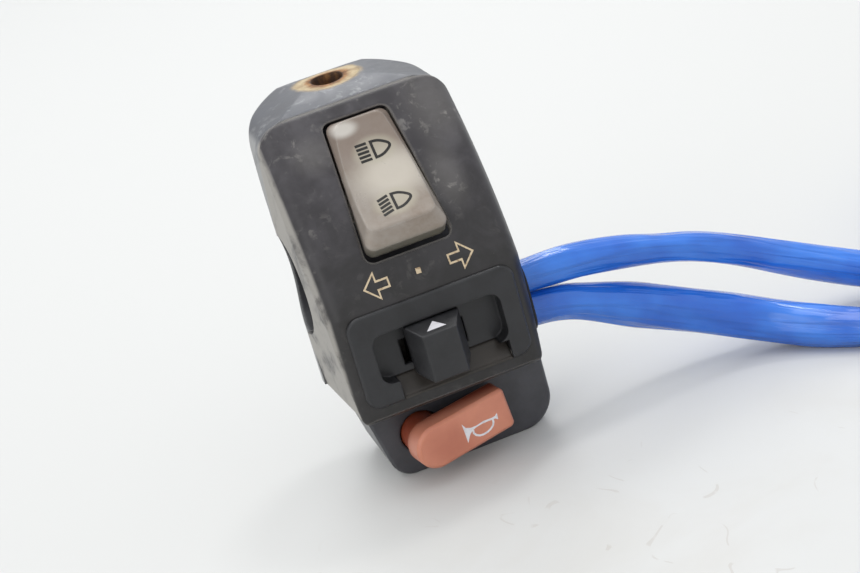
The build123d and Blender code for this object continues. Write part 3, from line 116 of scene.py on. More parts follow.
class Bench:
    """A node tree, with short ways to lay nodes in it and join them."""

    def __init__(self, tree):
        self.tree = tree

    def put(self, kind, **settings):
        node = self.tree.nodes.new(kind)
        for name, value in settings.items():
            setattr(node, name, value)
        return node

    def feed(self, socket, source):
        if isinstance(source, bpy.types.NodeSocket):
            self.tree.links.new(source, socket)
        elif source is not None:
            socket.default_value = source

    def sum(self, operation, *values, clamp=False):
        node = self.put("ShaderNodeMath", operation=operation, use_clamp=clamp)
        for socket, value in zip(node.inputs, values):
            self.feed(socket, value)
        return node.outputs[0]

    def times(self, *values):
        result = values[0]
        for value in values[1:]:
            result = self.sum("MULTIPLY", result, value)
        return result

    def step(self, value, low, high, start=0.0, end=1.0):
        """A smooth change from start, where value is low, to end, where it is high."""
        node = self.put("ShaderNodeMapRange", interpolation_type="SMOOTHSTEP")
        for name, source in (("Value", value), ("From Min", low), ("From Max", high)):
            self.feed(node.inputs[name], source)
        node.inputs["To Min"].default_value = start
        node.inputs["To Max"].default_value = end
        return node.outputs[0]

    def fall(self, value, low, high):
        """1 up to low and 0 from high on, with a smooth change between them."""
        return self.step(value, low, high, 1.0, 0.0)

    def mix(self, kind, sockets, factor, low, high):
        node = self.put("ShaderNodeMix", data_type=kind)
        first, second, result = sockets
        for socket, source in ((MIX_FACTOR, factor), (first, low), (second, high)):
            self.feed(node.inputs[socket], source)
        return node.outputs[result]

    def blend(self, factor, low, high):
        """The colour low, turning into high as factor goes from 0 to 1."""
        return self.mix("RGBA", MIX_COLOURS, factor, low, high)

    def between(self, factor, low, high):
        """The number low, turning into high as factor goes from 0 to 1."""
        return self.mix("FLOAT", MIX_NUMBERS, factor, low, high)

    def over(self, base, mask, share, colour):
        """The colour base, with this share of another colour over it where mask is 1."""
        return self.blend(self.times(mask, share), base, colour)

    def place(self, centre=(0, 0, 0), stretch=(1, 1, 1), turn=(0, 0, 0), source="Object"):
        """Coordinates about centre, in metres, stretched and turned."""
        coordinates = self.put("ShaderNodeTexCoord").outputs[source]
        mapping = self.put("ShaderNodeMapping", vector_type="TEXTURE")
        self.feed(mapping.inputs["Vector"], coordinates)
        mapping.inputs["Location"].default_value = centre
        mapping.inputs["Rotation"].default_value = turn
        mapping.inputs["Scale"].default_value = stretch
        return mapping.outputs[0]

    def parts(self, vector):
        node = self.put("ShaderNodeSeparateXYZ")
        self.feed(node.inputs[0], vector)
        return node.outputs

    def where(self, axis):
        """How far along an axis a point of the surface lies, in metres."""
        return self.parts(self.place())[axis]

    def length(self, vector):
        node = self.put("ShaderNodeVectorMath", operation="LENGTH")
        self.feed(node.inputs[0], vector)
        return node.outputs["Value"]

    def shifted(self, vector, shift):
        node = self.put("ShaderNodeVectorMath", operation="ADD")
        self.feed(node.inputs[0], vector)
        self.feed(node.inputs[1], shift)
        return node.outputs[0]

    def noise(self, vector, scale, detail, rough, bend=0.0):
        node = self.put("ShaderNodeTexNoise")
        for name, source in (
            ("Vector", vector),
            ("Scale", scale),
            ("Detail", detail),
            ("Roughness", rough),
            ("Distortion", bend),
        ):
            self.feed(node.inputs[name], source)
        return node.outputs[0]

    def use(self, group, **values):
        node = self.put("ShaderNodeGroup", node_tree=group)
        for name, value in values.items():
            self.feed(node.inputs[name.replace("_", " ").title()], value)
        return node.outputs

    def bump(self, height, strength, distance, normal=None):
        node = self.put("ShaderNodeBump")
        self.feed(node.inputs["Height"], height)
        node.inputs["Strength"].default_value = strength
        node.inputs["Distance"].default_value = distance
        self.feed(node.inputs["Normal"], normal)
        return node.outputs[0]


FLOAT, VECTOR = "NodeSocketFloat", "NodeSocketVector"


def new_group(name, inputs, outputs):
    """A shader node group with named sockets, with a bench on it and its two end nodes."""
    tree = bpy.data.node_groups.new(name, "ShaderNodeTree")
    for label, kind, value in inputs:
        socket = tree.interface.new_socket(label, in_out="INPUT", socket_type=kind)
        socket.default_value = value
    for label, kind in outputs:
        tree.interface.new_socket(label, in_out="OUTPUT", socket_type=kind)
    bench = Bench(tree)
    return bench, bench.put("NodeGroupInput").outputs, bench.put("NodeGroupOutput").inputs


BEVEL_SAMPLES = 6
EDGE_TURN = (0.01, 0.16)
PATCH_LIFT = 0.35
WEAR_FADE = 0.25


def edge_wear_group():
    """Where an edge is worn: a mask along sharp edges, broken up by noise, and the rounded normal."""
    bench, given, out = new_group(
        "edge_wear",
        [("Reach", FLOAT, 0.0008), ("Breadth", FLOAT, 0.5), ("Patch Scale", FLOAT, 300.0)],
        [("Mask", FLOAT), ("Normal", VECTOR)],
    )
    rounded = bench.put("ShaderNodeBevel", samples=BEVEL_SAMPLES)
    bench.feed(rounded.inputs["Radius"], given["Reach"])
    flat = bench.put("ShaderNodeNewGeometry").outputs["Normal"]
    alike = bench.put("ShaderNodeVectorMath", operation="DOT_PRODUCT")
    bench.feed(alike.inputs[0], rounded.outputs[0])
    bench.feed(alike.inputs[1], flat)
    turned = bench.sum("SUBTRACT", 1.0, alike.outputs["Value"])
    patches = bench.noise(bench.place(), given["Patch Scale"], detail=5.0, rough=0.65)
    broken = bench.times(bench.step(turned, *EDGE_TURN), bench.sum("ADD", patches, PATCH_LIFT))
    limit = bench.sum("SUBTRACT", 1.0, given["Breadth"])
    bench.feed(out["Mask"], bench.step(broken, limit, bench.sum("ADD", limit, WEAR_FADE)))
    bench.feed(out["Normal"], rounded.outputs[0])
    return bench.tree


def patches_group():
    """Cloudy patches with soft borders, such as scuffs and grime."""
    bench, given, out = new_group(
        "patches",
        [("Scale", FLOAT, 120.0), ("Cover", FLOAT, 0.4), ("Softness", FLOAT, 0.12), ("Shift", FLOAT, 0.0)],
        [("Mask", FLOAT)],
    )
    moved = bench.shifted(bench.place(), given["Shift"])
    clouds = bench.noise(moved, given["Scale"], detail=6.0, rough=0.62, bend=0.4)
    limit = bench.sum("SUBTRACT", 1.0, given["Cover"])
    low = bench.sum("SUBTRACT", limit, given["Softness"])
    high = bench.sum("ADD", limit, given["Softness"])
    bench.feed(out["Mask"], bench.step(clouds, low, high))
    return bench.tree


GLOSS_CLOUD_SCALE = 180.0


def grain_group():
    """The fine texture of moulded plastic or paint: its height, and clouds that change its gloss."""
    bench, given, out = new_group(
        "grain",
        [("Scale", FLOAT, 2500.0)],
        [("Height", FLOAT), ("Cloud", FLOAT)],
    )
    bench.feed(out["Height"], bench.noise(bench.place(), given["Scale"], detail=2.0, rough=0.5))
    bench.feed(out["Cloud"], bench.noise(bench.place(), GLOSS_CLOUD_SCALE, detail=4.0, rough=0.6))
    return bench.tree


SCRATCH_STRETCH = (0.35, 1.0, 1.0)
SCRATCH_TURN = (0.0, 0.9, 0.2)
LINE_AT = 0.5
GATE_SCALE_SHARE = 2.7
GATE_FADE = 0.05


def scratches_group():
    """Thin curved scratches, more where they are wanted."""
    bench, given, out = new_group(
        "scratches",
        [("Scale", FLOAT, 160.0), ("Width", FLOAT, 0.006), ("Amount", FLOAT, 0.4), ("Shift", FLOAT, 0.0)],
        [("Mask", FLOAT)],
    )
    moved = bench.shifted(bench.place(stretch=SCRATCH_STRETCH, turn=SCRATCH_TURN), given["Shift"])
    field = bench.noise(moved, given["Scale"], detail=1.0, rough=0.4, bend=0.3)
    away = bench.sum("ABSOLUTE", bench.sum("SUBTRACT", field, LINE_AT))
    line = bench.sum("LESS_THAN", away, given["Width"])
    gate = bench.noise(moved, bench.times(given["Scale"], GATE_SCALE_SHARE), detail=2.0, rough=0.5)
    limit = bench.sum("SUBTRACT", 1.0, given["Amount"])
    open_gate = bench.step(gate, limit, bench.sum("ADD", limit, GATE_FADE))
    bench.feed(out["Mask"], bench.times(line, open_gate))
    return bench.tree


EDGE_WEAR = edge_wear_group()
PATCHES = patches_group()
GRAIN = grain_group()
SCRATCHES = scratches_group()


def new_material(name):
    """A material with a bench on its nodes and its shader."""
    material = bpy.data.materials.new(name)
    material.use_nodes = True
    material.node_tree.nodes.clear()
    bench = Bench(material.node_tree)
    shader = bench.put("ShaderNodeBsdfPrincipled")
    result = bench.put("ShaderNodeOutputMaterial")
    bench.feed(result.inputs["Surface"], shader.outputs[0])
    return material, bench, shader.inputs


def dress(material, *nodes):
    """Puts a material on CAD nodes."""
    for name in nodes:
        slots = frame["nodes"][name].material_slots
        if not slots:
            frame["nodes"][name].data.materials.append(material)
        for slot in slots:
            slot.material = material


def cloudy(bench, scale, cover, softness, shift=0.0):
    """A mask of cloudy patches."""
    return bench.use(PATCHES, scale=scale, cover=cover, softness=softness, shift=shift)["Mask"]


def spot_mask(bench, middle, reach, soft, turn=(0, 0, 0)):
    """1 inside an oval about its middle, in millimetres, fading to 0 past its rim."""
    far = bench.length(bench.place(tuple(mm(*middle)), tuple(mm(*reach)), turn))
    return bench.fall(far, 1 - soft, 1 + soft)


# Faces that look this squarely to the left take the case's bare silver and its painted reflection.
LEFT_FACING = (0.72, 0.93)


def facing_left(bench):
    """How far a face looks to the left: 1 where it looks almost straight there."""
    normal = bench.put("ShaderNodeNewGeometry").outputs["Normal"]
    return bench.step(bench.times(bench.parts(normal)[X], -1), *LEFT_FACING)


GRAIN_DEPTH = 0.1 * MM
GLOSS_CLOUD = (0.3, 0.7)


def moulded(name, colour, pale, rough):
    """Moulded plastic: fine grain, cloudy gloss and paler rubbed edges."""
    material, bench, shader = new_material(name)
    wear = bench.use(EDGE_WEAR, reach=0.6 * MM, breadth=0.35, patch_scale=350.0)
    surface = bench.use(GRAIN)
    cloud = bench.step(surface["Cloud"], *GLOSS_CLOUD)
    base = bench.over(colour, cloud, 0.35, pale)
    bench.feed(shader["Base Color"], bench.over(base, wear["Mask"], 0.7, pale))
    bench.feed(shader["Roughness"], bench.between(cloud, rough - 0.04, rough + 0.06))
    bench.feed(shader["Normal"], bench.bump(surface["Height"], 0.12, GRAIN_DEPTH, wear["Normal"]))
    return material


def metal(name, colour, dark, rough):
    """Plated or drawn metal with slight tarnish."""
    material, bench, shader = new_material(name)
    tarnish = cloudy(bench, 500.0, cover=0.5, softness=0.2)
    bench.feed(shader["Base Color"], bench.blend(tarnish, colour, dark))
    bench.feed(shader["Roughness"], bench.between(tarnish, rough, rough + 0.2))
    shader["Metallic"].default_value = 1.0
    return material


# The heights between which painted light makes the case's paint lighter towards its top, and its rubbed
# spots: middle and reach, in millimetres.
PAINTED_LIGHT_HEIGHTS = (-6 * MM, 26 * MM)
RUBBED_SPOTS = (((16, -4, 27), (5, 8, 7)), ((-11, -4, 26), (4, 6, 3)), ((12.5, -13, 15), (3, 6, 6)))


def case_paint(name, shaded_below, lit_above, pale, silver, left_bare_and_reflection):
    """Black paint on a die-cast case, made lighter above by painted light, mottled, rubbed through at its
    edges and left side, where its silver is also a painted reflection.

    Gives the material, its bench and its shader, for more layers on it.
    """
    material, bench, shader = new_material(name)
    wear = bench.use(EDGE_WEAR, reach=1.1 * MM, breadth=0.5, patch_scale=240.0)
    surface = bench.use(GRAIN, scale=1600.0)
    # Painted light: the paint turns lighter towards the top, where the overhead light falls on it.
    painted_top_light = bench.step(bench.where(Z), *PAINTED_LIGHT_HEIGHTS)
    mottle = cloudy(bench, 130.0, cover=0.47, softness=0.16)
    scuff = cloudy(bench, 420.0, cover=0.40, softness=0.07, shift=3.0)
    scuff = bench.times(scuff, cloudy(bench, 75.0, cover=0.5, softness=0.12, shift=9.0))
    scratch = bench.use(SCRATCHES, scale=120.0, width=0.0035, amount=0.3, shift=4.0)["Mask"]
    base = bench.blend(painted_top_light, shaded_below, lit_above)
    base = bench.over(base, mottle, bench.between(painted_top_light, 0.15, 0.6), pale)
    base = bench.over(base, scuff, bench.between(painted_top_light, 0.05, 0.3), silver)
    base = bench.over(base, scratch, 0.3, silver)
    for middle, reach in RUBBED_SPOTS:
        rubbed = bench.times(spot_mask(bench, middle, reach, soft=0.7), bench.between(scuff, 0.25, 0.8))
        base = bench.over(base, rubbed, 0.6, silver)
    # The left side's silver is bare metal where the paint is rubbed through, and also a painted reflection of
    # the white surroundings.
    bare_and_reflection = bench.times(facing_left(bench), left_bare_and_reflection)
    bare_and_reflection = bench.times(bare_and_reflection, cloudy(bench, 170.0, cover=0.62, softness=0.16, shift=5.0))
    bare_and_reflection = bench.sum("MAXIMUM", bare_and_reflection, bench.times(wear["Mask"], 0.6))
    bench.feed(shader["Base Color"], bench.blend(bare_and_reflection, base, silver))
    bench.feed(shader["Metallic"], bench.times(bare_and_reflection, 0.35))
    bench.feed(shader["Roughness"], bench.between(bench.sum("MAXIMUM", bare_and_reflection, mottle), 0.36, 0.5))
    bench.feed(shader["Normal"], bench.bump(surface["Height"], 0.16, GRAIN_DEPTH, wear["Normal"]))
    return material, bench, shader


# Where the mirror socket's stain, rust and dark mouth fade out, in millimetres from its middle.
MIRROR_Y = 13.9
STAIN_RIM = (6.4, 8.3)
RUST_RIM = (4.0, 5.6)
MOUTH_RIM = (3.2, 3.9)
RIM_WANDER = 2.4
SEAT_HEIGHTS = (17 * MM, 19 * MM)


def rear_paint(name):
    """The rear case's paint, with the rusty seat of the mirror and its brown stain."""
    # The rear case's colours: low, then the lighter high one (painted light), then mottle and bare silver.
    colours = (paint("2c2b2e"), paint("434449"), paint("54565c"), paint("a9a9a8"))
    material, bench, shader = case_paint(name, *colours, left_bare_and_reflection=0.8)
    below = shader["Base Color"].links[0].from_socket
    gloss = shader["Roughness"].links[0].from_socket
    ragged = bench.sum("SUBTRACT", bench.noise(bench.place(), 420.0, detail=4.0, rough=0.6), 0.5)
    far = bench.length(bench.place(tuple(mm(0, MIRROR_Y, 0)), (MM, MM, 1.0)))
    far = bench.sum("ADD", far, bench.times(ragged, RIM_WANDER))
    seat = bench.times(bench.fall(far, *STAIN_RIM), bench.step(bench.where(Z), *SEAT_HEIGHTS))
    blots = cloudy(bench, 520.0, cover=0.5, softness=0.15)
    stain = bench.blend(blots, paint("bba988"), paint("a18c6c"))
    brown = bench.blend(blots, paint("9c7144"), paint("6b4523"))
    colour = bench.blend(bench.fall(far, *RUST_RIM), stain, brown)
    colour = bench.blend(bench.fall(far, *MOUTH_RIM), colour, paint("4a3426"))
    bench.feed(shader["Base Color"], bench.blend(seat, below, colour))
    bench.feed(shader["Roughness"], bench.between(seat, gloss, 0.75))
    return material


# Where the rocker's colour changes, painted light among it: heights, and spots with their middle and reach in
# millimetres.
CROWN_HEIGHTS = (20 * MM, 25.5 * MM)
FOOT_HEIGHTS = (7.5 * MM, 9.5 * MM)
GLINT = ((-3.6, -6.5, 29.4), (2.6, 3, 1.3))
PAINTED_MIDDLE_LIGHT = ((2, -13.5, 20), (6.5, 6, 4.5))
SIGN_HALOS = ((0.7, -9.7, 24.4), (0.2, -17.8, 15.6))
HALO_REACH = (4.3, 2.9, 2.9)


def rocker_plastic(name):
    """The rocker's silvery plastic: painted light in its dipped middle and a painted glint near its upper
    left, grimy at its edges, lighter round its signs.
    """
    material, bench, shader = new_material(name)
    wear = bench.use(EDGE_WEAR, reach=0.9 * MM, breadth=0.5, patch_scale=300.0)
    surface = bench.use(GRAIN, scale=2200.0)
    grime = cloudy(bench, 110.0, cover=0.48, softness=0.2)
    fine = cloudy(bench, 600.0, cover=0.5, softness=0.25, shift=4.0)
    height = bench.where(Z)
    base = bench.blend(grime, paint("9d948b"), paint("87796c"))
    base = bench.over(base, fine, 0.3, paint("a9a29a"))
    base = bench.over(base, bench.step(height, *CROWN_HEIGHTS), 0.6, paint("857469"))
    # A painted glint near the upper left, then painted light in the rocker's dipped middle.
    base = bench.over(base, spot_mask(bench, *GLINT, soft=0.5), 0.8, paint("d9d4cc"))
    base = bench.over(base, spot_mask(bench, *PAINTED_MIDDLE_LIGHT, soft=0.6), 0.85, paint("cdc5b8"))
    base = bench.over(base, bench.fall(height, *FOOT_HEIGHTS), 0.7, paint("77766a"))
    for middle in SIGN_HALOS:
        halo = spot_mask(bench, middle, HALO_REACH, soft=0.28)
        base = bench.over(base, halo, 0.6, paint("b9b2a0"))
    bench.feed(shader["Base Color"], bench.over(base, wear["Mask"], 0.5, paint("bcb8b2")))
    bench.feed(shader["Roughness"], bench.between(grime, 0.27, 0.38))
    shader["Metallic"].default_value = 0.25
    bench.feed(shader["Normal"], bench.bump(surface["Height"], 0.08, GRAIN_DEPTH, wear["Normal"]))
    return material


# Where a thumb has darkened the horn button, and where the painted shade on the back of its cap and round its
# stem begins and ends.
THUMB = ((-4.6, -24, -34.8), (5.5, 8, 3.6))
THUMB_TURN = (0, 0.35, 0)
PAINTED_CAP_SHADE = (-22.5 * MM, -18 * MM)


def horn_plastic(name):
    """Orange plastic faded to terracotta, darker under the thumb, with painted shade behind its cap and round
    its stem, and paler rubbed rims that also paint in a highlight.
    """
    material, bench, shader = new_material(name)
    wear = bench.use(EDGE_WEAR, reach=0.7 * MM, breadth=0.62, patch_scale=200.0)
    clouds = cloudy(bench, 140.0, cover=0.5, softness=0.25)
    base = bench.blend(clouds, paint("d38a70"), paint("c98068"))
    thumb = spot_mask(bench, *THUMB, soft=0.6, turn=THUMB_TURN)
    base = bench.over(base, thumb, 0.35, paint("a75944"))
    # Painted shade on the back of the cap and round its stem.
    base = bench.over(base, bench.step(bench.where(Y), *PAINTED_CAP_SHADE), 0.9, paint("8c3516"))
    # Paler rubbed rims, which also paint in the highlight along the cap's edges.
    bench.feed(shader["Base Color"], bench.over(base, wear["Mask"], 0.7, paint("dd9069")))
    bench.feed(shader["Roughness"], bench.between(clouds, 0.34, 0.42))
    shader["Subsurface Weight"].default_value = 0.06
    shader["Subsurface Radius"].default_value = (3 * MM, 1 * MM, 0.5 * MM)
    bench.feed(shader["Normal"], wear["Normal"])
    return material


CREASE_STRETCH = (0.5, 0.16, 1.0)
DEPTH_CLOUD = (0.3, 0.72)


def vinyl(name):
    """Glossy blue vinyl with creases along its length and a cloudy depth of colour."""
    material, bench, shader = new_material(name)
    lengthwise = bench.place(stretch=CREASE_STRETCH, source="UV")
    crease = bench.noise(lengthwise, 2.6, detail=1.0, rough=0.4, bend=0.5)
    ripple = bench.noise(bench.place(), 120.0, detail=1.0, rough=0.4, bend=0.2)
    depth = bench.step(bench.noise(bench.place(), 80.0, detail=2.0, rough=0.5), *DEPTH_CLOUD)
    bench.feed(shader["Base Color"], bench.blend(depth, paint("1a60c8"), paint("2f7be0")))
    bench.feed(shader["Roughness"], bench.between(depth, 0.14, 0.22))
    shader["Coat Weight"].default_value = 0.5
    shader["Coat Roughness"].default_value = 0.06
    creased = bench.bump(crease, 0.42, 2.2 * MM)
    bench.feed(shader["Normal"], bench.bump(ripple, 0.5, 1.6 * MM, creased))
    return material


def ink(name, colour, worn, rough):
    """Printed or filled marks, worn in places."""
    material, bench, shader = new_material(name)
    patches = cloudy(bench, 900.0, cover=0.42, softness=0.12, shift=6.0)
    bench.feed(shader["Base Color"], bench.blend(patches, colour, worn))
    shader["Roughness"].default_value = rough
    return material


# Where the sleeves run, as the part's own routes give it.
SMALL_RUN = (
    (17, -13, -11),
    (28.5, -13, -11),
    (41, -12.6, -12.9),
    (55, -12.2, -16.4),
    (67, -12, -21.5),
    (78.5, -12.2, -28),
    (88.6, -12.9, -33.3),
    (97.2, -17.2, -36.8),
    (104.8, -24.2, -38.8),
    (111.2, -32.2, -38.2),
    (118.6, -39.6, -35.9),
    (127.2, -45.4, -33.4),
)
LARGE_RUN = (
    (17, -13, -18.3),
    (27, -13, -18.3),
    (38, -13.2, -22.8),
    (49.5, -13.4, -28.4),
    (60.3, -15.2, -33.4),
    (70.2, -20.2, -37.4),
    (78.6, -28, -39.5),
    (86.4, -36.8, -39.8),
    (95.6, -44.6, -39.8),
    (107.3, -49.8, -39.8),
    (118.4, -51.8, -39.8),
    (129.6, -51.6, -39.8),
)
SMALL_R = 3.5
LARGE_R = 3.7
SMALL_COIL_Z = -32.5
LARGE_COIL_Z = -39.8
RING_CENTRE = (160, -7.5)
RING_R = 42.5
RING_START = -90
RUN_IN = 11.5
COIL_GAP = 0.6
TAIL_SHARE = 3.1
TAIL_TURN = 135
HALF_TURN = 180
STRAIGHT_END = 2 * LARGE_R


def ring_arcs():
    """The half turns of both coils, each a little tighter, and the tail that curls inside them."""
    way = Vector((math.cos(math.radians(RING_START)), math.sin(math.radians(RING_START))))
    middle = Vector(RING_CENTRE)
    closer = LARGE_R + COIL_GAP / 2
    tail_r = TAIL_SHARE * 2 * LARGE_R
    return (
        (middle, RING_R, RING_START, HALF_TURN),
        (middle - way * closer, RING_R - closer, RING_START + HALF_TURN, HALF_TURN),
        (middle + way * (RING_R - 2 * closer - tail_r), tail_r, RING_START, TAIL_TURN),
    )


ARC_STEP = 15
ARC_LEAST_STEPS = 6


def sleeve_route(run, height):
    """A sleeve's control points: its run, one straight end, the coil's turns and the other straight end."""
    entry = RING_CENTRE[0], RING_CENTRE[1] - RING_R
    points = [*run]
    for back in (RUN_IN + STRAIGHT_END, STRAIGHT_END):
        points.append((entry[0] - back, entry[1], height))
    arcs = ring_arcs()
    for where, radius, first, turn in arcs:
        steps = max(ARC_LEAST_STEPS, round(turn / ARC_STEP))
        for i in range(steps):
            angle = math.radians(first + turn * (i + 0.5) / steps)
            points.append((where.x + radius * math.cos(angle), where.y + radius * math.sin(angle), height))
    where, radius, first, turn = arcs[-1]
    last = math.radians(first + turn)
    end = where + radius * Vector((math.cos(last), math.sin(last)))
    on = end + STRAIGHT_END * Vector((-math.sin(last), math.cos(last)))
    return [*points, (end.x, end.y, height), (on.x, on.y, height)]


ROUTE_STEPS = 10
ROUTE_ORDER = 3


def smooth_line(points):
    """The points of a NURBS spline that has these control points, in millimetres, as a line in metres."""
    data = bpy.data.curves.new("route", "CURVE")
    data.dimensions = "3D"
    data.resolution_u = ROUTE_STEPS
    spline = data.splines.new("NURBS")
    spline.points.add(len(points) - 1)
    for point, where in zip(spline.points, points):
        point.co = (*(c * MM for c in where), 1.0)
    spline.order_u = ROUTE_ORDER
    spline.use_endpoint_u = True
    holder = bpy.data.objects.new("route", data)
    mesh = bpy.data.meshes.new_from_object(holder)
    line = [v.co.copy() for v in mesh.vertices]
    bpy.data.objects.remove(holder)
    bpy.data.meshes.remove(mesh)
    return line


TINY = 1e-9


def even(line, step):
    """The line again with its points about one step apart, and its length."""
    lengths = [0.0]
    for a, b in zip(line, line[1:]):
        lengths.append(lengths[-1] + (b - a).length)
    count = max(2, round(lengths[-1] / step))
    result = []
    i = 0
    for k in range(count + 1):
        at = lengths[-1] * k / count
        while i < len(line) - 2 and lengths[i + 1] < at:
            i += 1
        share = (at - lengths[i]) / max(lengths[i + 1] - lengths[i], TINY)
        result.append(line[i].lerp(line[i + 1], min(1.0, share)))
    return result, lengths[-1]


SIDES = 32
FLOOR_CLEARANCE = 0.02 * MM
PATTERN_PER_METRE = 10


def sleeve_mesh(name, line, length, radius, shape):
    """A tube along the line, swollen by shape(along, angle) and flattened where it lies on the floor."""
    mesh = bpy.data.meshes.new(name)
    form = bmesh.new()
    lay = form.loops.layers.uv.new("UVMap")
    spans = len(line) - 1
    rings = []
    side = Vector((0, 0, 1))
    for i, point in enumerate(line):
        ahead = (line[min(i + 1, spans)] - line[max(i - 1, 0)]).normalized()
        side = (side - ahead * side.dot(ahead)).normalized()
        other = ahead.cross(side)
        along = length * i / spans
        ring = []
        for k in range(SIDES):
            angle = 2 * math.pi * k / SIDES + math.pi
            r = radius * shape(along / MM, angle)
            spot = point + r * (math.cos(angle) * side + math.sin(angle) * other)
            spot.z = max(spot.z, FLOOR_Z + FLOOR_CLEARANCE)
            ring.append(form.verts.new(spot))
        rings.append(ring)
    for i, (a, b) in enumerate(zip(rings, rings[1:])):
        for k in range(SIDES):
            j = (k + 1) % SIDES
            face = form.faces.new((a[k], a[j], b[j], b[k]))
            face.smooth = True
            spots = ((i, k), (i, k + 1), (i + 1, k + 1), (i + 1, k))
            for loop, (u, v) in zip(face.loops, spots):
                loop[lay].uv = (u * length / spans * PATTERN_PER_METRE, v / SIDES)
    form.faces.new(rings[0][::-1])
    form.faces.new(rings[-1])
    bmesh.ops.recalc_face_normals(form, faces=form.faces)
    form.to_mesh(mesh)
    form.free()
    piece = bpy.data.objects.new(name, mesh)
    bpy.context.collection.objects.link(piece)
    return piece


def smooth(value, low, high):
    """0 up to low and 1 from high on, with an even change between them."""
    share = min(1.0, max(0.0, (value - low) / (high - low)))
    return share * share * (3 - 2 * share)


def loosened(along, tight, loose, easing, held):
    """0 where a sleeve is held tight and 1 where it lies loose, by its way along the route."""
    return smooth(along, tight, loose) * (1 - smooth(along, easing, held))


def hump(along, middle, reach):
    """A smooth hump of height 1."""
    return math.exp(-(((along - middle) / reach) ** 2))


def folds(table, along, angle):
    """Shallow folds that wind round a sleeve."""
    rows = (high * math.sin(count * angle + start + along / slant) for high, count, start, slant in table)
    return sum(rows)


# Distances along the sleeves are in millimetres, angles in radians, and swellings in shares of the radius.
RUN_LOOSE = (4, 14, 118, 150)
LARGE_WIDE = (15, 31, 66, 88)
# Each row of folds: height, number round the sleeve, first angle, and the slant of their winding.
SMALL_FOLDS = ((0.03, 4, 0, 9), (0.018, 7, 0, -6))
LARGE_FOLDS = ((0.045, 4, 0.9, 14), (0.028, 6, 0, -7))
PINCH_AT, PINCH_REACH, PINCH_DEPTH, PINCH_SIDE = 37, 5.5, 0.17, 0.4
BULGE_AT, BULGE_REACH, BULGE_HEIGHT = 50, 9, 0.08
SMALL_SWELL, SMALL_WAVE, SMALL_WAVE_LENGTH, SMALL_WAVE_START = 0.045, 0.05, 11, 0.8
SMALL_FLATNESS, SMALL_FLAT_SIDE, SMALL_FLAT_WINDING = 0.05, 0.5, 45
LARGE_SWELL, LARGE_FLATNESS, LARGE_FLAT_SIDE = 0.24, 0.07, 0.35


def small_shape(along, angle):
    """The upper sleeve: a little flattened, with a pinch some way out and long shallow folds."""
    pinch = PINCH_DEPTH * hump(along, PINCH_AT, PINCH_REACH) * (1 + math.cos(angle - PINCH_SIDE)) / 2
    swell = SMALL_SWELL + SMALL_WAVE * math.sin(along / SMALL_WAVE_LENGTH + SMALL_WAVE_START)
    flat = SMALL_FLATNESS * math.cos(2 * (angle - SMALL_FLAT_SIDE - along / SMALL_FLAT_WINDING))
    return 1 + loosened(along, *RUN_LOOSE) * (swell + flat + folds(SMALL_FOLDS, along, angle) - pinch)


def large_shape(along, angle):
    """The lower sleeve: narrow at its mouth, then wide, flattened and creased along its length."""
    bulge = BULGE_HEIGHT * hump(along, BULGE_AT, BULGE_REACH) * (1 + math.cos(angle)) / 2
    flat = LARGE_FLATNESS * math.cos(2 * (angle - LARGE_FLAT_SIDE))
    wide = loosened(along, *LARGE_WIDE) * (LARGE_SWELL + bulge + flat)
    return 1 + wide + loosened(along, *RUN_LOOSE) * folds(LARGE_FOLDS, along, angle)


SLEEVE_STEP = 1.5 * MM


def sleeve(name, run, height, tube_r, shape, material):
    """One cable sleeve: a tube from the case to its coil on the floor."""
    line = smooth_line(sleeve_route(run, height))
    line, length = even(line, SLEEVE_STEP)
    piece = sleeve_mesh(name, line, length, tube_r * MM, shape)
    piece.data.materials.append(material)
    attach(piece, "housing")
    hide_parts(name + "_run", name + "_coil")
    return piece


MITRE_LIMIT = 0.5


def ribbon(points, wide, closed=False):
    """A band of even breadth along flat points, as points and faces."""
    count = len(points)
    flat = [Vector(p) for p in points]
    spots, faces = [], []
    for i, point in enumerate(flat):
        before = flat[i - 1] if closed or i else point
        after = flat[(i + 1) % count] if closed or i < count - 1 else point
        first = (point - before).normalized() if before is not point else (after - point).normalized()
        second = (after - point).normalized() if after is not point else first
        across = (Vector((-first.y, first.x)) + Vector((-second.y, second.x))).normalized()
        reach = wide / 2 / max(MITRE_LIMIT, across.dot(Vector((-first.y, first.x))))
        spots += [point + across * reach, point - across * reach]
    for i in range(count if closed else count - 1):
        j = (i + 1) % count
        faces.append((2 * i, 2 * i + 1, 2 * j + 1, 2 * j))
    return spots, faces


def patch(points):
    """A filled outline, as points and one face."""
    return [Vector(p) for p in points], [tuple(range(len(points)))]


ACROSS = Vector((1, 0, 0))
LOOK_FROM = 8
INK_PROUD = 0.035 * MM
INK_SUNK = 0.08 * MM


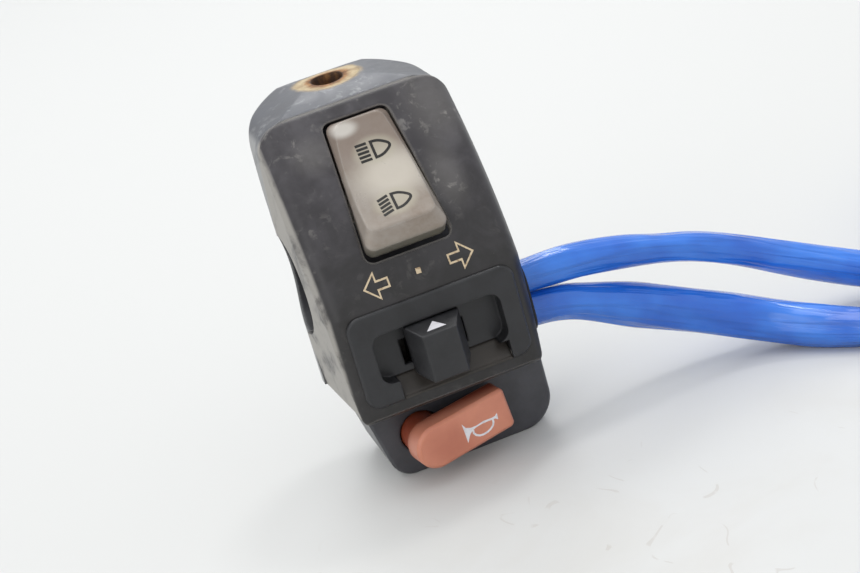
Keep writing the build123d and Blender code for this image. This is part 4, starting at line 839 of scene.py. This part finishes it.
def printed(name, node, body, material, middle, up, shapes):
    """Marks printed on a piece: shapes drawn across and up from middle, laid on the surface below them."""
    skin = frame["nodes"][node].data
    tree = BVHTree.FromPolygons([v.co for v in skin.vertices], [tuple(f.vertices) for f in skin.polygons])
    up = Vector(up).normalized()
    out = ACROSS.cross(up)
    form = bmesh.new()
    for spots, faces in shapes:
        tops, lows = [], []
        for u, v in spots:
            start = mm(*middle) + (ACROSS * u + up * v + out * LOOK_FROM) * MM
            hit = tree.ray_cast(start, -out)[0]
            tops.append(form.verts.new(hit + out * INK_PROUD))
            lows.append(form.verts.new(hit - out * INK_SUNK))
        edges = []
        for face in faces:
            form.faces.new([tops[i] for i in face])
            form.faces.new([lows[i] for i in reversed(face)])
            edges += zip(face, face[1:] + face[:1])
        for a, b in edges:
            if (b, a) not in edges:
                form.faces.new((tops[b], tops[a], lows[a], lows[b]))
    bmesh.ops.recalc_face_normals(form, faces=form.faces)
    mesh = bpy.data.meshes.new(name)
    form.to_mesh(mesh)
    form.free()
    piece = bpy.data.objects.new(name, mesh)
    bpy.context.collection.objects.link(piece)
    piece.data.materials.append(material)
    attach(piece, body)
    return piece


# Sizes of the printed signs, in millimetres.
HEADLAMP_SIZE = 3.5
HEADLAMP_STEPS = 22
HEADLAMP_HOLLOW_SHARE = 0.12
RAYS = 5
SIGN_STROKE = 0.56


def headlamp(left):
    """A headlamp's outline: straight at its left, half round at its right."""
    points = [(left, HEADLAMP_SIZE / 2), (left, -HEADLAMP_SIZE / 2)]
    for i in range(1, HEADLAMP_STEPS):
        angle = math.radians(-90 + HALF_TURN * i / HEADLAMP_STEPS)
        stretch = 1 - HEADLAMP_HOLLOW_SHARE * math.sin(2 * angle) ** 2
        points.append((left + HEADLAMP_SIZE * math.cos(angle) * stretch, HEADLAMP_SIZE / 2 * math.sin(angle)))
    return ribbon(points, SIGN_STROKE, closed=True)


def beam(left, long, drop):
    """The rays at the left of the headlamp, level or dipped."""
    rays = []
    for i in range(RAYS):
        v = HEADLAMP_SIZE / 2 - HEADLAMP_SIZE * i / (RAYS - 1)
        line = [(left, v - drop), (left + long / 2, v - drop / 2), (left + long, v)]
        rays.append(ribbon(line, SIGN_STROKE))
    return rays


ARROW_CORNERS = ((11.6, 0), (8.95, 2.4), (8.95, 0.8), (6.5, 0.8), (6.5, -0.8), (8.95, -0.8), (8.95, -2.4))
ARROW_STROKE = 0.36
ARROW_DOT = ((-0.62, -0.5), (0.42, -0.55), (0.5, 0.5), (-0.55, 0.6))
POINTER = ((-0.95, 1.2), (-3.0, -1.15), (1.08, -1.15))


def arrow(way):
    """An arrow's outline that points left (-1) or right (1)."""
    return ribbon([(way * u, v) for u, v in ARROW_CORNERS], ARROW_STROKE, closed=True)


# The horn's filled pieces, from its mouth to its bulb, and the line of its bent tube.
HORN_PIECES = (
    ((-0.71, 1.85), (-0.53, -0.56), (-0.07, 0.74)),
    ((-0.07, 0.74), (-0.53, -0.56), (0.27, -1.32), (0.65, -0.87), (0.99, 0.29)),
    ((-0.53, -0.56), (-0.44, -2.63), (0.27, -1.32)),
    ((0.99, 0.29), (0.65, -0.87), (1.3, -0.41), (2.27, -0.12), (2.24, 0.2)),
    ((2.24, 0.2), (2.27, -0.12), (3.59, 0.02), (5.1, -0.06), (5.97, 0.29), (3.97, 0.47)),
    ((5.97, 0.29), (5.1, -0.06), (6.6, -0.18), (6.63, 0.36)),
    ((6.63, 0.36), (6.6, -0.18), (7.19, -0.61), (7.27, 0.82)),
)
HORN_TUBE = (
    (1.35, -0.45),
    (1.28, -1.1),
    (1.7, -1.75),
    (2.45, -2.2),
    (3.3, -2.32),
    (4.3, -2.2),
    (5.15, -1.85),
    (5.8, -1.3),
    (6.05, -0.7),
    (6.0, -0.1),
)
HORN_STROKE = 0.42

FLOOR_SIZE = 8
FLOOR_GLOW = 0.06
FLOOR_MARKS_FADE = (-60 * MM, -20 * MM)
STUDIO_COLOUR = (0.96, 0.98, 1.0, 1.0)
STUDIO_LIGHT = 0.88


def stage():
    """The white bench top, with faint brown specks and hairline marks near the cluster."""
    material, bench, shader = new_material("white_bench")
    near = bench.fall(bench.where(Y), *FLOOR_MARKS_FADE)
    smudge = cloudy(bench, 24.0, cover=0.42, softness=0.15, shift=1.0)
    specks = cloudy(bench, 700.0, cover=0.235, softness=0.02)
    marks = bench.use(SCRATCHES, scale=34.0, width=0.004, amount=0.45, shift=8.0)["Mask"]
    base = bench.over(paint("c9c9c7"), bench.times(smudge, near), 0.35, paint("bfbcb6"))
    base = bench.over(base, bench.times(specks, near), 0.35, paint("a98f70"))
    base = bench.over(base, bench.times(marks, near), 0.3, paint("a9a097"))
    bench.feed(shader["Base Color"], base)
    bench.feed(shader["Emission Color"], base)
    seen = bench.put("ShaderNodeLightPath").outputs
    straight = bench.sum("ADD", seen["Is Camera Ray"], seen["Is Glossy Ray"])
    straight = bench.sum("ADD", straight, seen["Is Transmission Ray"], clamp=True)
    bench.feed(shader["Emission Strength"], bench.times(straight, FLOOR_GLOW))
    shader["Roughness"].default_value = 0.6
    bpy.ops.mesh.primitive_plane_add(size=FLOOR_SIZE, location=(0, 0, FLOOR_Z))
    floor = bpy.context.object
    floor.name = "floor"
    floor.data.materials.append(material)
    world = bpy.data.worlds.new("studio")
    world.use_nodes = True
    background = world.node_tree.nodes["Background"].inputs
    background["Color"].default_value = STUDIO_COLOUR
    background["Strength"].default_value = STUDIO_LIGHT
    bpy.context.scene.world = world
    bpy.context.scene.view_settings.view_transform = "Standard"


def lamp(name, where, aim, size, watts, colour=(1, 1, 1)):
    """A round soft lamp, with its place, aim and size in metres."""
    data = bpy.data.lights.new(name, "AREA")
    data.shape = "DISK"
    data.size = size
    data.energy = watts
    data.color = colour
    light = bpy.data.objects.new(name, data)
    light.location = where
    light.rotation_euler = (Vector(aim) - Vector(where)).to_track_quat("-Z", "Y").to_euler()
    bpy.context.collection.objects.link(light)


place_camera()
stage()
lamp("overhead", (-0.25, 0.25, 1.2), aim=(0, 0, 0), size=1.0, watts=6.5)
lamp("front_left", (-0.9, -0.9, 0.6), aim=(0, 0, 0), size=0.8, watts=1.8)
lamp("window_behind", (0.25, 0.95, 0.75), aim=(0.02, 0, 0), size=0.5, watts=2.4, colour=(0.95, 0.97, 1.0))
lamp("tube_above", (0.35, 0.3, 0.9), aim=(0.05, 0, 0), size=0.16, watts=1.4)

# The front case's colours: low, then the lighter high one (painted light), then mottle and bare silver.
front_colours = (paint("201e1d"), paint("353235"), paint("524f53"), paint("a19d97"))
case_front = case_paint("front_paint", *front_colours, left_bare_and_reflection=1.0)[0]
case_rear = rear_paint("rear_paint")
rocker_satin = rocker_plastic("rocker_satin")
charcoal = moulded("charcoal_plastic", paint("212123"), paint("39393c"), rough=0.42)
ramp_brown = moulded("ramp_plastic", paint("322d29"), paint("4a443e"), rough=0.45)
carrier_black = moulded("carrier_black", paint("3c3c40"), paint("58585d"), rough=0.36)
orange = horn_plastic("horn_orange")
natural = moulded("natural_plastic", paint("c9bfa4"), paint("d8d0ba"), rough=0.45)
black_rubber = moulded("black_rubber", paint("151515"), paint("2a2a2a"), rough=0.7)
wire_plastic = moulded("wire_insulation", paint("1a1a1a"), paint("333333"), rough=0.3)
nylon = moulded("white_nylon", paint("d8d4c4"), paint("e6e2d6"), rough=0.4)
blue = vinyl("blue_vinyl")
black_ink = ink("black_ink", paint("1b1816"), paint("2a2623"), rough=0.45)
cream_ink = ink("cream_filling", paint("d3bf9f"), paint("8d6f4d"), rough=0.55)
white_ink = ink("white_ink", paint("e4e2e6"), paint("d2cfd2"), rough=0.5)
zinc = metal("zinc_plate", (0.62, 0.60, 0.56, 1), (0.36, 0.33, 0.28, 1), rough=0.35)
spring_steel = metal("spring_steel", (0.6, 0.6, 0.6, 1), (0.4, 0.4, 0.4, 1), rough=0.25)
brass = metal("contact_brass", (0.75, 0.58, 0.30, 1), (0.5, 0.36, 0.18, 1), rough=0.3)

FINISHES = {
    "case_front": case_front,
    "case_rear": case_rear,
    "fasteners": zinc,
    "springs": spring_steel,
    "contacts": brass,
    "rocker": rocker_satin,
    "dark_plastic": charcoal,
    "base_plastic": natural,
    "horn_orange": orange,
    "carrier_black": carrier_black,
    "rubber": black_rubber,
    "blue_sleeve": blue,
    "wire_insulation": wire_plastic,
    "nylon": nylon,
}
for part in frame["record"]["subparts"]:
    dress(FINISHES[part["material_slot"]], part["node"])
dress(ramp_brown, "turn_ramp", "turn_contact_plate")

sleeve("small_sleeve", SMALL_RUN, SMALL_COIL_Z, SMALL_R, small_shape, blue)
sleeve("large_sleeve", LARGE_RUN, LARGE_COIL_Z, LARGE_R, large_shape, blue)

printed(
    "high_beam_sign",
    node="rocker_button",
    body="rocker",
    material=black_ink,
    middle=(0, -9.65, 24.48),
    up=(0, 0.598, 0.802),
    shapes=[headlamp(left=0.53), *beam(left=-2.77, long=2.4, drop=0)],
)
printed(
    "low_beam_sign",
    node="rocker_button",
    body="rocker",
    material=black_ink,
    middle=(0, -17.72, 15.59),
    up=(0, 0.74, 0.672),
    shapes=[headlamp(left=0.02), *beam(left=-3.1, long=2.3, drop=0.6)],
)
printed(
    "turn_arrows",
    node="front_case",
    body="housing",
    material=cream_ink,
    middle=(0, -22, 1.68),
    up=(0, 0, 1),
    shapes=[arrow(-1), arrow(1), patch(ARROW_DOT)],
)
printed(
    "knob_pointer",
    node="turn_knob",
    body="knob",
    material=white_ink,
    middle=(0, -26.6, -8),
    up=(0, 1, 0),
    shapes=[patch(POINTER)],
)
printed(
    "horn_sign",
    node="horn_button",
    body="horn",
    material=white_ink,
    middle=(0, -22, -34.2),
    up=(0, 0, 1),
    shapes=[*(patch(piece) for piece in HORN_PIECES), ribbon(HORN_TUBE, HORN_STROKE)],
)
